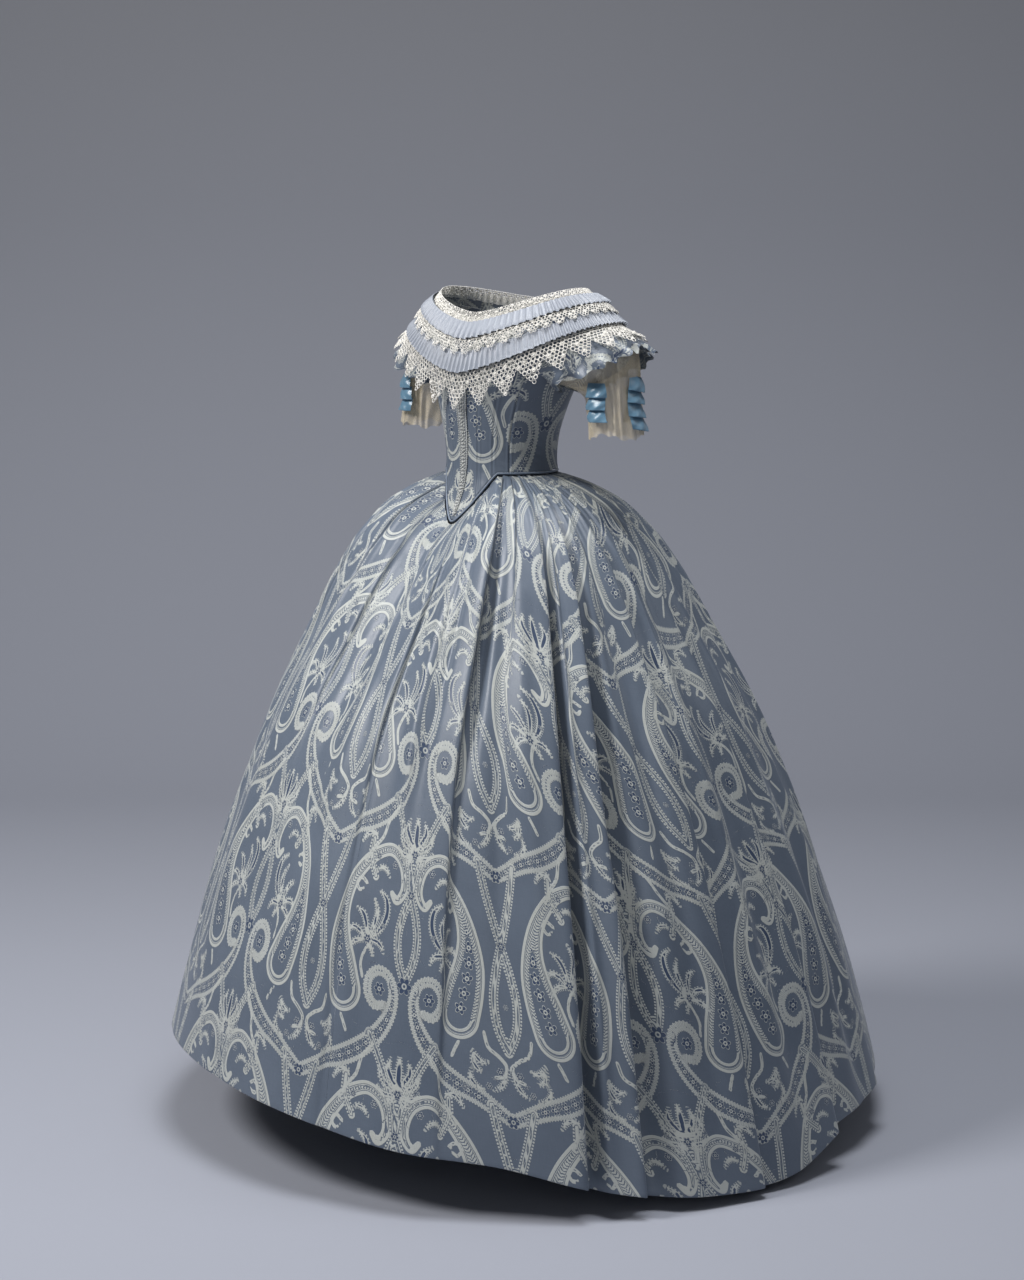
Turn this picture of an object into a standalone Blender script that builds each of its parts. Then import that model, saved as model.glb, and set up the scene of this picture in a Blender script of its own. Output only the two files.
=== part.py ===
# A crinoline evening dress of brocaded silk, about 1855 in cut, as it is worn.
# Metres, +Z up. The origin is the middle of the waist, the front faces -Y and her left is +X.
# Angles run round the body in degrees, from 0 at the front through 90 at her left side.
import math
from functools import lru_cache

import bmesh
import bpy
import numpy as np
from mathutils import Vector
from mathutils.geometry import delaunay_2d_cdt

# Driving dimensions
SILK_WALL = 0.002
RIBBON_WALL = 0.0012
LACE_WALL = 0.001
SEAM_GAP = 0.0003
POINT_DROP = 0.086
POINT_HALF_ANGLE = 38.0
POINT_ROUNDING = 2.0
PIPING_RADIUS = 0.0020
PIPING_SIDES = 6
SKIRT_SEAM_DROP = 0.0070
HEM_CENTRE_BACK = 0.029
FRONT_FLATNESS = 0.05
SIDE_SEAM_ANGLES = (50.0, 130.0)
UNDERARM_HEIGHT = 0.150
UNDERARM_RISE = 0.020
BODICE_TOP_HEIGHT = 0.150
STRAP_WIDTH = 0.034
BODICE_NECK_DEPTHS = (0.086, 0.034, 0.017, 0.0)
BERTHA_DEPTH = 0.007
TUCKER_COLUMNS_ROUND = 60
TUCKER_SCALLOP = 0.002
UPPER_LACE_SCALLOPS = 36
UPPER_LACE_SCALLOP_DEPTH = 0.009
LOWER_LACE_POINTS = 30
LOWER_LACE_PITCH = 0.040
LOWER_LACE_DEPTHS = (0.078, 0.114, 0.151)
LOWER_LACE_HEIGHT = 0.0016
LOWER_LACE_SLANT = 0.030
LACE_HOLE_HALF = 0.0031
LACE_JOIN_ANGLE = 0.08
RIBBON_PLEATS = 5
RIBBON_WIDTH = 0.033
RIBBON_PLEAT_HEIGHT = 0.003
TRIM_ROWS = (0.12, 3.9)
TRIM_HALF_WIDTHS = (0.0045, 0.0115)

# Outer skirt line at the sides and back
# Columns: drop below the waist, radius
SKIRT_PROFILE = (
    (0.000, 0.098),
    (0.020, 0.146),
    (0.042, 0.186),
    (0.090, 0.238),
    (0.164, 0.290),
    (0.250, 0.335),
    (0.379, 0.403),
    (0.522, 0.462),
    (0.662, 0.515),
    (0.813, 0.563),
    (0.968, 0.604),
    (1.120, 0.640),
)

# Hem round the skirt
# Columns: angle, drop below the waist
HEM_LINE = (
    (-180.0, 1.045),
    (-135.0, 1.020),
    (-90.0, 0.980),
    (-45.0, 0.954),
    (-12.0, 0.963),
    (10.0, 0.985),
    (27.0, 1.010),
    (42.0, 1.025),
    (57.0, 1.066),
    (72.0, 1.090),
    (90.0, 1.088),
    (101.0, 1.052),
    (112.0, 1.040),
    (135.0, 1.032),
    (180.0, 1.045),
)

# Main skirt folds: each is a lap that stands proud on its first side and sinks on its second.
# The angles are at the waist and hem, the heights are half the step of the lap.
FOLD_COLUMNS = ("waist", "hem", "top", "upper", "middle", "low")
SKIRT_FOLDS = (
    (-84.0, -85.0, 0.0020, 0.007, 0.006, 0.005),
    (-62.0, -60.0, 0.0020, 0.005, 0.003, 0.002),
    (-40.0, -36.0, 0.0020, 0.005, 0.003, 0.001),
    (-17.0, -12.0, 0.0020, 0.006, 0.003, 0.002),
    (17.0, 13.0, 0.0020, 0.005, 0.004, 0.002),
    (43.0, 33.0, 0.0022, 0.009, 0.006, 0.001),
    (58.0, 54.0, 0.0020, 0.008, 0.012, 0.013),
    (68.0, 62.0, 0.0020, 0.007, 0.010, 0.011),
    (82.0, 82.0, 0.0020, 0.005, 0.004, 0.007),
    (100.0, 100.0, 0.0020, 0.006, 0.006, 0.012),
    (120.0, 121.0, 0.0020, 0.006, 0.005, 0.007),
    (141.0, 142.0, 0.0020, 0.008, 0.010, 0.010),
    (161.0, 162.0, 0.0020, 0.006, 0.005, 0.006),
    (181.0, 183.0, 0.0022, 0.008, 0.009, 0.009),
    (205.0, 206.0, 0.0020, 0.006, 0.005, 0.005),
    (229.0, 229.0, 0.0020, 0.007, 0.009, 0.009),
    (252.0, 252.0, 0.0020, 0.005, 0.004, 0.004),
)
FOLD_HEIGHT_STATIONS = (0.0, 0.16, 0.45, 1.0)
FOLD_REACH = 0.24
FOLD_EDGE = 0.045
SMALL_PLEAT_TOP = 0.0016
SMALL_PLEAT_LENGTH = 0.14
WIDTH_SEAM_FOLDS = (0, 2, 4, 6, 9, 11, 13, 15)
SKIRT_COLUMN_PLACES = (0.075, 0.27, 0.455, 0.545, 0.925)
SKIRT_ROW_PLACES = (0.0, 0.014, 0.038, 0.075, 0.13, 0.21, 0.32, 0.46, 0.63, 0.82, 1.0)

# Bodice rings
# Columns: height, half width, front distance, back distance, y where the ring is widest
BODICE_RINGS = (
    (-0.100, 0.170, 0.140, 0.110, -0.014),
    (-0.080, 0.150, 0.129, 0.100, -0.014),
    (-0.030, 0.112, 0.108, 0.082, -0.014),
    (0.000, 0.0985, 0.1015, 0.076, -0.014),
    (0.025, 0.0975, 0.1005, 0.0745, -0.014),
    (0.050, 0.1005, 0.102, 0.076, -0.014),
    (0.100, 0.116, 0.107, 0.084, -0.008),
    (0.150, 0.140, 0.109, 0.096, 0.002),
    (0.190, 0.156, 0.107, 0.102, 0.012),
)

# Columns of the front and back panels
FRONT_ANGLES = (0.0, 6.5, 13.0, 20.0, 29.0, 39.0, 50.0)
BACK_ANGLES = (130.0, 142.0, 154.0, 167.0, 180.0)

# Bertha rings, in plan and height
# Columns: depth down the cloth from the neckline, half width, front distance, back distance,
# y where the ring is widest, heights at front, side and back, power of the rise to the side
BERTHA_RINGS = (
    (-0.020, 0.161, 0.083, 0.100, 0.021, 0.266, 0.309, 0.286, 1.45),
    (0.000, 0.174, 0.093, 0.108, 0.024, 0.247, 0.297, 0.268, 1.45),
    (0.026, 0.191, 0.105, 0.117, 0.028, 0.221, 0.282, 0.244, 1.45),
    (0.054, 0.207, 0.113, 0.124, 0.030, 0.194, 0.265, 0.218, 1.45),
    (0.086, 0.223, 0.118, 0.129, 0.030, 0.164, 0.247, 0.189, 1.45),
    (0.118, 0.243, 0.122, 0.132, 0.037, 0.133, 0.230, 0.159, 1.50),
    (0.150, 0.264, 0.127, 0.135, 0.046, 0.103, 0.214, 0.130, 1.60),
    (0.175, 0.282, 0.131, 0.138, 0.054, 0.080, 0.200, 0.108, 1.60),
)

# Gathered and pleated frills of the bertha
# Columns: name, waves, depths, heights above the foundation, half wave swings (each top, bottom)
FRILLS = (
    ("ruffle_upper", 56, (-0.001, 0.028), (0.0006, 0.0037), (0.0011, 0.0022)),
    ("ruffle_lower", 80, (0.050, 0.087), (0.0010, 0.0042), (0.0014, 0.0026)),
)

# Tucker lace and upper lace, from top to bottom
# Columns: depth, height above the foundation
TUCKER_ROWS = ((-0.017, -0.0050), (-0.002, -0.0040), (0.010, -0.0036))
UPPER_LACE_ROWS = ((0.024, 0.0008), (0.046, 0.0066))

# Cut holes of one point of the lower lace
# Columns: place across the point as a part of its width, depth
LACE_HOLES = (
    (0.0, 0.1395),
    (-0.14, 0.129),
    (0.14, 0.129),
    (0.0, 0.1185),
    (-0.28, 0.1185),
    (0.28, 0.1185),
)

# Sleeve cap, by angles round the arm from its front
CAP_COLUMN_ANGLE = 15.0
CAP_CORNER_ANGLES = (15.0, 165.0, 195.0, 345.0)
CAP_NARROWING = 0.25
ARMHOLE_FACING = np.array((0.96, 0.0, -0.28))
# Cap hem over the arm
# Columns: angle, depth on the bertha
CAP_HEM = (
    (0.0, 0.172),
    (30.0, 0.174),
    (60.0, 0.166),
    (85.0, 0.160),
    (110.0, 0.170),
    (140.0, 0.164),
    (180.0, 0.170),
)
# Cap hem under the arm
# Columns: angle, x, y, z
CAP_INNER_HEM = (
    (195.0, 0.180, 0.093, 0.152),
    (232.0, 0.153, 0.072, 0.139),
    (270.0, 0.145, 0.028, 0.133),
    (308.0, 0.150, -0.022, 0.138),
    (345.0, 0.178, -0.057, 0.149),
)

# Net undersleeve rings below the cap
# Columns: height, centre x and y, radius along x and y
NET_RINGS = (
    (0.180, 0.2075, 0.031, 0.045, 0.052),
    (0.150, 0.2120, 0.030, 0.0435, 0.049),
    (0.110, 0.2185, 0.029, 0.042, 0.045),
    (0.062, 0.2260, 0.028, 0.043, 0.044),
)

# Ruched ribbon ends on the undersleeve
# Columns: angle round the arm, top height, bottom height, clearance of the net
SLEEVE_RIBBONS = (
    (12.0, 0.148, 0.094, 0.0022),
    (95.0, 0.158, 0.082, 0.0019),
    (186.0, 0.138, 0.084, 0.0022),
)

# Colours, roughness and metallic value
MATERIALS = {
    "brocade": ((0.175, 0.240, 0.345), 0.42, 0.0),
    "ribbon": ((0.330, 0.420, 0.530), 0.38, 0.0),
    "sleeve ribbon": ((0.130, 0.270, 0.380), 0.34, 0.0),
    "lace": ((0.640, 0.620, 0.560), 0.75, 0.0),
    "net": ((0.680, 0.640, 0.520), 0.80, 0.0),
    "braid": ((0.420, 0.440, 0.420), 0.55, 0.0),
}


def column(names, table, name):
    """One named column of a table."""
    return [row[names.index(name)] for row in table]


@lru_cache(maxsize=None)
def curve_slopes(places, values):
    places = np.array(places)
    values = np.array(values)
    return places, values, np.gradient(values, places, axis=0)


def along(value, places, values):
    """Smooth curve through values at given places, read at one place."""
    places, values, slopes = curve_slopes(tuple(places), values)
    value = min(max(value, places[0]), places[-1])
    index = min(max(int(np.searchsorted(places, value)) - 1, 0), len(places) - 2)
    step = places[index + 1] - places[index]
    t = (value - places[index]) / step
    start = (2 * t**3 - 3 * t**2 + 1) * values[index] + (t**3 - 2 * t**2 + t) * step * slopes[index]
    end = (3 * t**2 - 2 * t**3) * values[index + 1] + (t**3 - t**2) * step * slopes[index + 1]
    return start + end


@lru_cache(maxsize=None)
def split_table(table):
    """A table's first column, and the rest of each row."""
    return tuple(row[0] for row in table), tuple(row[1:] for row in table)


def read(table, value):
    """All columns of a table after its first, read smoothly at a value of the first."""
    return along(value, *split_table(table))


def ring_point(half, front, back, centre, angle):
    """Plan point of an egg-shaped ring that is widest at y = centre."""
    sine = math.sin(math.radians(angle))
    cosine = math.cos(math.radians(angle))
    reach = front + centre if cosine > 0 else back - centre
    return half * sine, centre - reach * cosine


def wrapped(angle):
    """The same angle between -180 and 180."""
    return (angle + 180.0) % 360.0 - 180.0


def moved_out(surface, a, b, distance, step=0.01):
    """Point of a surface(a, b) moved outward; b + step lies below b - step."""
    point = np.array(surface(a, b))
    across = np.array(surface(a + 0.5, b)) - np.array(surface(a - 0.5, b))
    down = np.array(surface(a, b + step)) - np.array(surface(a, b - step))
    normal = np.cross(down, across)
    normal /= np.linalg.norm(normal)
    return point + normal * distance


# Bodice and bertha surfaces
def lower_edge(angle):
    """Height of the bodice's lower edge, which dips to a point at the front."""
    near = max(0.0, 1.0 - math.hypot(wrapped(angle), POINT_ROUNDING) / POINT_HALF_ANGLE)
    return -POINT_DROP * near**1.3


def bodice_ring(angle, height):
    half, front, back, centre = read(BODICE_RINGS, height)
    x, y = ring_point(half, front, back, centre, angle)
    return np.array((x, y, height))


def below_edge(angle, distance):
    """Height a distance below the bodice's lower edge, measured square to the edge where it slopes."""
    angle = abs(wrapped(angle))
    edge = bodice_ring(angle, lower_edge(angle))
    beside = bodice_ring(angle + 1.0, lower_edge(angle + 1.0))
    slope = (beside[2] - edge[2]) / np.linalg.norm(beside[:2] - edge[:2])
    return lower_edge(angle) - distance * math.sqrt(1 + slope**2)


def bertha_ring(angle, depth):
    """Outermost face of the bertha, fitted to the neckline and the trimmings' edges."""
    half, front, back, centre, z_front, z_side, z_back, power = read(BERTHA_RINGS, depth)
    x, y = ring_point(half, front, back, centre, angle)
    z_middle = z_front if math.cos(math.radians(angle)) > 0 else z_back
    lift = abs(math.sin(math.radians(angle))) ** power
    return np.array((x, y, z_middle + (z_side - z_middle) * lift))


def foundation(angle, depth):
    """The cloth that carries the bertha, below its trimmings."""
    return moved_out(bertha_ring, angle, depth, -BERTHA_DEPTH, 0.003)


def bertha_layer(angle, depth, height):
    """A point a given height above the bertha's foundation."""
    return moved_out(bertha_ring, angle, depth, height - BERTHA_DEPTH, 0.003)


@lru_cache(maxsize=None)
def panel_rows(angle):
    """A line of points up the bodice at one angle, and the length of cloth up to each."""
    low = lower_edge(angle)
    heights = (low, low * 0.5 + 0.010, 0.050, 0.100, BODICE_TOP_HEIGHT)
    points = [bodice_ring(angle, height) for height in heights]
    points += [foundation(angle, depth) for depth in BODICE_NECK_DEPTHS]
    steps = np.linalg.norm(np.diff(points, axis=0), axis=1)
    lengths = tuple(float(length) for length in np.concatenate([[0.0], np.cumsum(steps)]))
    return lengths, tuple(tuple(float(number) for number in point) for point in points)


def panel_surface(angle, place):
    """Bodice cloth up the body, by its rows: 0 at the lower edge, 4 at the chest, 8 at the neckline."""
    lengths, points = panel_rows(float(angle))
    return along(float(np.interp(place, range(len(points)), lengths)), lengths, points)


@lru_cache(maxsize=None)
def panel_place(angle, height):
    """Where up a panel its cloth reaches a height."""
    low, high = 0.0, 8.0
    for _ in range(16):
        middle = (low + high) / 2
        if panel_surface(angle, middle)[2] < height:
            low = middle
        else:
            high = middle
    return (low + high) / 2


# Solids
def material(name):
    colour, roughness, metallic = MATERIALS[name]
    made = bpy.data.materials.get(name)
    if made is None:
        made = bpy.data.materials.new(name)
        made.use_nodes = True
        shader = made.node_tree.nodes["Principled BSDF"]
        shader.inputs["Base Color"].default_value = (*colour, 1.0)
        shader.inputs["Roughness"].default_value = roughness
        shader.inputs["Metallic"].default_value = metallic
        made.diffuse_color = (*colour, 1.0)
    return made


def grid_triangles(outer, closed):
    """Triangles over a grid of points, each cell cut along its shorter diagonal."""
    rows, columns = outer.shape[:2]
    triangles = []
    for row in range(rows - 1):
        for place in range(columns if closed else columns - 1):
            beside = (place + 1) % columns
            a = row * columns + place
            b = row * columns + beside
            c = (row + 1) * columns + beside
            d = (row + 1) * columns + place
            flat = outer.reshape(-1, 3)
            if np.linalg.norm(flat[a] - flat[c]) <= np.linalg.norm(flat[b] - flat[d]):
                triangles += [(a, b, c), (a, c, d)]
            else:
                triangles += [(a, b, d), (b, c, d)]
    return triangles


def add_wall(name, outer, inner, triangles, finish, sharp_angle=35.0):
    """A closed wall between two matching sheets of points, as one object."""
    outer = np.asarray(outer).reshape(-1, 3)
    inner = np.asarray(inner).reshape(-1, 3)
    shape = bmesh.new()
    outside = [shape.verts.new(Vector(point)) for point in outer]
    inside = [shape.verts.new(Vector(point)) for point in inner]
    edges = {}
    for triangle in triangles:
        shape.faces.new([outside[i] for i in triangle])
        shape.faces.new([inside[i] for i in reversed(triangle)])
        for a, b in zip(triangle, triangle[1:] + triangle[:1]):
            edges[(a, b)] = edges.get((a, b), 0) + 1
    for a, b in edges:
        if (b, a) not in edges:
            shape.faces.new((outside[b], outside[a], inside[b]))
            shape.faces.new((outside[a], inside[a], inside[b]))
    bmesh.ops.recalc_face_normals(shape, faces=shape.faces)
    mesh = bpy.data.meshes.new(name)
    shape.to_mesh(mesh)
    shape.free()
    mesh.materials.append(material(finish))
    mesh.shade_smooth()
    mesh.set_sharp_from_angle(angle=math.radians(sharp_angle))
    made = bpy.data.objects.new(name, mesh)
    bpy.context.scene.collection.objects.link(made)
    return made


def pull_in_sides(grid, gap):
    """Moves a grid's two side columns in by half the gap left at each seam."""
    moved = grid.copy()
    for side, beside in ((0, 1), (-1, -2)):
        toward = grid[:, beside] - grid[:, side]
        toward /= np.linalg.norm(toward, axis=1)[:, None]
        moved[:, side] += toward * gap / 2
    return moved


def add_grid_wall(name, outer, inner, finish, closed=False):
    outer = np.array(outer)
    inner = np.array(inner)
    if not closed:
        outer = pull_in_sides(outer, SEAM_GAP)
        inner = pull_in_sides(inner, SEAM_GAP)
    return add_wall(name, outer, inner, grid_triangles(outer, closed), finish)


def mirrored(grid):
    """The same grid on her right side, with its columns in the same turning order."""
    return np.array(grid)[:, ::-1] * np.array((-1.0, 1.0, 1.0))


# Skirt
def hem_drop(angle):
    return float(read(HEM_LINE, wrapped(angle))[0])


def skirt_base(angle, place):
    """Skirt without its folds: place runs from 0 at the waist seam to 1 at the hem."""
    waist = bodice_ring(angle, below_edge(angle, SKIRT_SEAM_DROP))
    top_drop = -waist[2]
    drop = top_drop + (hem_drop(angle) - top_drop) * place
    reading = max(0.0, drop - top_drop * math.exp(-(drop - top_drop) / 0.25))
    radius = float(read(SKIRT_PROFILE, reading)[0])
    if abs(wrapped(angle)) < 45:
        flat_front = math.cos(math.radians(2 * wrapped(angle))) ** 2
        radius -= FRONT_FLATNESS * flat_front * (reading / 0.1) * math.exp(1 - reading / 0.1)
    sine = math.sin(math.radians(angle))
    cosine = math.cos(math.radians(angle))
    top_radius = SKIRT_PROFILE[0][1]
    centre = HEM_CENTRE_BACK * drop
    top_centre = HEM_CENTRE_BACK * top_drop
    near_seam = math.exp(-reading / 0.1)
    x = radius * sine + (waist[0] - top_radius * sine) * near_seam
    y = centre - radius * cosine + (waist[1] + top_radius * cosine - top_centre) * near_seam
    return np.array((x, y, -drop))


def fold_angle(fold, place):
    """Angle of a position between folds (1.5 is midway from the second to the third)."""
    count = len(SKIRT_FOLDS)
    turns, index = divmod(math.floor(fold), count)
    beyond, following = divmod(math.floor(fold) + 1, count)
    part = fold - math.floor(fold)
    ends = []
    for name in ("waist", "hem"):
        angles = column(FOLD_COLUMNS, SKIRT_FOLDS, name)
        ends.append((angles[index] + 360 * turns) * (1 - part) + (angles[following] + 360 * beyond) * part)
    drift = min(1.0, place / 0.5)
    return ends[0] + (ends[1] - ends[0]) * drift * (2 - drift)


def fold_height(fold, place):
    """How far the folds lift the cloth off the skirt's plain shape."""
    nearest = math.floor(fold)
    height = 0.0
    for index in range(nearest - 1, nearest + 3):
        row = SKIRT_FOLDS[index % len(SKIRT_FOLDS)]
        step = along(place, FOLD_HEIGHT_STATIONS, row[2:])
        away = fold - index
        height -= step * math.tanh(away / FOLD_EDGE) * math.exp(-abs(away) / FOLD_REACH)
    away = fold - nearest - 0.5
    small = SMALL_PLEAT_TOP * (1 + 3 * min(1.0, place / 0.06)) * math.exp(-place / SMALL_PLEAT_LENGTH)
    return height - small * math.tanh(away / FOLD_EDGE) * math.exp(-abs(away) / (FOLD_REACH / 2))


def skirt_point(fold, place, inside=0.0):
    angle = fold_angle(fold, place)
    low_place = max(place, 0.004)
    return moved_out(skirt_base, angle, low_place, fold_height(fold, place) - inside, 0.004) + (
        skirt_base(angle, place) - skirt_base(angle, low_place)
    )


def build_skirt():
    seams = [index + SKIRT_COLUMN_PLACES[0] for index in WIDTH_SEAM_FOLDS]
    seams.append(seams[0] + len(SKIRT_FOLDS))
    for number, (start, end) in enumerate(zip(seams, seams[1:]), 1):
        places = []
        for index in range(math.floor(start), math.floor(end) + 1):
            places += [index + part for part in SKIRT_COLUMN_PLACES]
        places = [place for place in places if start - 1e-6 <= place <= end + 1e-6]
        outer = [[skirt_point(fold, row) for fold in places] for row in SKIRT_ROW_PLACES]
        inner = [[skirt_point(fold, row, SILK_WALL) for fold in places] for row in SKIRT_ROW_PLACES]
        add_grid_wall(f"skirt_{number}", outer, inner, "brocade")


# Bodice
def side_angles():
    return np.linspace(*SIDE_SEAM_ANGLES, 11)


def build_bodice():
    panels = (("front", FRONT_ANGLES), ("side", side_angles()), ("back", BACK_ANGLES))
    for name, angles in panels:
        outer = []
        inner = []
        seam_angle = SIDE_SEAM_ANGLES[1 if name == "back" else 0]
        seam_top = panel_place(seam_angle, underarm_height(seam_angle))
        for row in ("top", 3, 2, 1, 0) if name == "side" else (8, 7, 6, 5, seam_top, 3, 2, 1, 0):
            spots = [(a, panel_place(a, underarm_height(a)) if row == "top" else row) for a in angles]
            outer.append([panel_surface(a, place) for a, place in spots])
            inner.append([moved_out(panel_surface, a, place, -SILK_WALL, -0.05) for a, place in spots])
        add_grid_wall(f"bodice_{name}_left", outer, inner, "brocade")
        add_grid_wall(f"bodice_{name}_right", mirrored(outer), mirrored(inner), "brocade")


def underarm_height(angle):
    """Top edge of the side panel, scooped under the arm."""
    away = min(1.0, abs(angle - 90.0) / (SIDE_SEAM_ANGLES[1] - 90.0))
    return UNDERARM_HEIGHT + UNDERARM_RISE * away**2


def build_straps():
    angles = side_angles()
    depths = (0.0, STRAP_WIDTH / 2, STRAP_WIDTH)
    outer = [[foundation(angle, depth) for angle in angles] for depth in depths]
    inner = [[bertha_layer(angle, depth, -SILK_WALL) for angle in angles] for depth in depths]
    add_grid_wall("shoulder_strap_left", outer, inner, "brocade")
    add_grid_wall("shoulder_strap_right", mirrored(outer), mirrored(inner), "brocade")


def build_piping():
    """Covered cord in the waist seam, which follows the bodice's point."""
    left = sorted({*FRONT_ANGLES, *side_angles(), *BACK_ANGLES})
    angles = left + [-angle for angle in left[-2:0:-1]]
    centres = []
    for angle in angles:
        centres.append(bodice_ring(angle, below_edge(angle, PIPING_RADIUS + SEAM_GAP * 2)))
    centres = np.array(centres)
    ahead = np.roll(centres, -1, axis=0) - np.roll(centres, 1, axis=0)
    ahead /= np.linalg.norm(ahead, axis=1)[:, None]
    outward = centres * np.array((1.0, 1.0, 0.0))
    outward -= ahead * np.sum(outward * ahead, axis=1)[:, None]
    outward /= np.linalg.norm(outward, axis=1)[:, None]
    upward = np.cross(outward, ahead)
    shape = bmesh.new()
    rings = []
    for centre, out, up in zip(centres, outward, upward):
        ring = []
        for side in range(PIPING_SIDES):
            turn = 2 * math.pi * (side + 0.5) / PIPING_SIDES
            point = centre + (out * math.cos(turn) + up * math.sin(turn)) * PIPING_RADIUS
            ring.append(shape.verts.new(Vector(point)))
        rings.append(ring)
    for ring, following in zip(rings, rings[1:] + rings[:1]):
        for side in range(PIPING_SIDES):
            beside = (side + 1) % PIPING_SIDES
            shape.faces.new((ring[side], ring[beside], following[beside], following[side]))
    bmesh.ops.recalc_face_normals(shape, faces=shape.faces)
    mesh = bpy.data.meshes.new("waist_piping")
    shape.to_mesh(mesh)
    shape.free()
    mesh.materials.append(material("brocade"))
    mesh.shade_smooth()
    bpy.context.scene.collection.objects.link(bpy.data.objects.new("waist_piping", mesh))


def build_centre_trim():
    """Braid down the middle of the front, over the seam, to the point."""
    outer = []
    inner = []
    for place in (TRIM_ROWS[1], 3, 2, 1, TRIM_ROWS[0]):
        low_row = int(place)
        share = place - low_row
        middle, beside = [
            panel_surface(angle, low_row) * (1 - share) + panel_surface(angle, low_row + 1) * share
            for angle in FRONT_ANGLES[:2]
        ]
        half_width = np.interp(place, TRIM_ROWS, TRIM_HALF_WIDTHS)
        edge = middle + (beside - middle) * half_width / np.linalg.norm(beside - middle)
        for rows, height in ((inner, SEAM_GAP * 2), (outer, SEAM_GAP * 2 + LACE_WALL)):
            lift = np.array((0.0, -height, 0.0))
            rows.append([edge * np.array((-1.0, 1.0, 1.0)) + lift, middle + lift, edge + lift])
    add_grid_wall("centre_trim", outer, inner, "braid")


# Bertha
def build_frills():
    """Rings of ribbon whose waves stand out from the bertha, more at the bottom edge than the top."""
    for name, waves, depths, heights, swings in FRILLS:
        outer = []
        inner = []
        for depth, height, swing in zip(depths, heights, swings):
            outer_row = []
            inner_row = []
            for index in range(waves * 2):
                angle = 180.0 * index / waves
                lift = height + (0.0 if index % 2 else swing * 2)
                outer_row.append(bertha_layer(angle, depth, lift + RIBBON_WALL))
                inner_row.append(bertha_layer(angle, depth, lift))
            outer.append(outer_row)
            inner.append(inner_row)
        add_grid_wall(name, outer, inner, "ribbon", closed=True)


def scalloped_ring(name, rows, columns, scallop, lowest):
    """A lace ring whose lowest (or highest) row is scalloped from column to column."""
    angles = [360.0 * index / columns for index in range(columns)]
    outer = []
    inner = []
    for depth, height in rows:
        swing = scallop if (depth, height) == rows[-1 if lowest else 0] else 0.0
        depths = [depth + swing * (index % 2) for index in range(columns)]
        outer.append([bertha_layer(a, d, height + LACE_WALL) for a, d in zip(angles, depths)])
        inner.append([bertha_layer(a, d, height) for a, d in zip(angles, depths)])
    add_grid_wall(name, outer, inner, "lace", closed=True)


def build_narrow_laces():
    """The tucker that stands up inside the neckline, and the lace between the two frills."""
    scalloped_ring("tucker_lace", TUCKER_ROWS, TUCKER_COLUMNS_ROUND, -TUCKER_SCALLOP, lowest=False)
    columns = UPPER_LACE_SCALLOPS * 2
    scalloped_ring("lace_upper", UPPER_LACE_ROWS, columns, UPPER_LACE_SCALLOP_DEPTH, lowest=True)


def lace_point_pattern():
    """One point of the wide lace, flat: its corners, and its cut-through holes as diamonds."""
    top, valley, tip = LOWER_LACE_DEPTHS
    corners = [(-0.5, top), (0.0, top), (0.5, top), (0.5, valley), (0.0, tip), (-0.5, valley)]
    pitch = LOWER_LACE_PITCH
    points = [Vector(corner) for corner in corners]
    edges = []
    for across, depth in LACE_HOLES:
        first = len(points)
        half = LACE_HOLE_HALF
        for step_across, step_down in ((half, 0.0), (0.0, half), (-half, 0.0), (0.0, -half)):
            points.append(Vector((across + step_across / pitch, depth + step_down)))
        edges += [(first, first + 1), (first + 1, first + 2), (first + 2, first + 3), (first + 3, first)]
    scaled = [Vector((point.x * pitch, point.y)) for point in points]
    placed, _, faces, _, _, _ = delaunay_2d_cdt(scaled, edges, [list(range(len(corners)))], 1, 1e-7)
    triangles = []
    for face in faces:
        middle = sum((placed[i] for i in face), Vector((0.0, 0.0))) / 3
        inside_hole = False
        for across, depth in LACE_HOLES:
            gap = abs(middle.x - across * pitch) + abs(middle.y - depth)
            inside_hole = inside_hole or gap < LACE_HOLE_HALF * 0.99
        if not inside_hole:
            triangles.append(tuple(face))
    return [(point.x / pitch, point.y) for point in placed], triangles


def build_lower_lace():
    pattern, pattern_triangles = lace_point_pattern()
    points_each = LOWER_LACE_POINTS // 2
    step = 360.0 / LOWER_LACE_POINTS
    for name, start in (("lace_lower_front", -90.0), ("lace_lower_back", 90.0)):
        places = {}
        outer = []
        inner = []
        triangles = []
        for number in range(points_each):
            numbered = []
            for across, depth in pattern:
                angle = start + (number + 0.5 + across) * step
                angle += LACE_JOIN_ANGLE if number == 0 and across < -0.49 else 0.0
                angle -= LACE_JOIN_ANGLE if number == points_each - 1 and across > 0.49 else 0.0
                key = (round(angle, 4), round(depth, 6))
                if key not in places:
                    places[key] = len(outer)
                    height = LOWER_LACE_HEIGHT + LOWER_LACE_SLANT * (depth - LOWER_LACE_DEPTHS[0])
                    outer.append(bertha_layer(angle, depth, height + LACE_WALL))
                    inner.append(bertha_layer(angle, depth, height))
                numbered.append(places[key])
            triangles += [tuple(numbered[i] for i in triangle) for triangle in pattern_triangles]
        add_wall(name, outer, inner, triangles, "lace")


# Sleeves
def over_arm(turn, place):
    """Angle round the body of the cap's outer half, which narrows a little toward its hem."""
    front, back = CAP_CORNER_ANGLES[:2]
    front_angle, back_angle = SIDE_SEAM_ANGLES
    seam = front_angle + (back_angle - front_angle) * (turn - front) / (back - front)
    return 90.0 + (seam - 90.0) * (1 - CAP_NARROWING * place)


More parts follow.
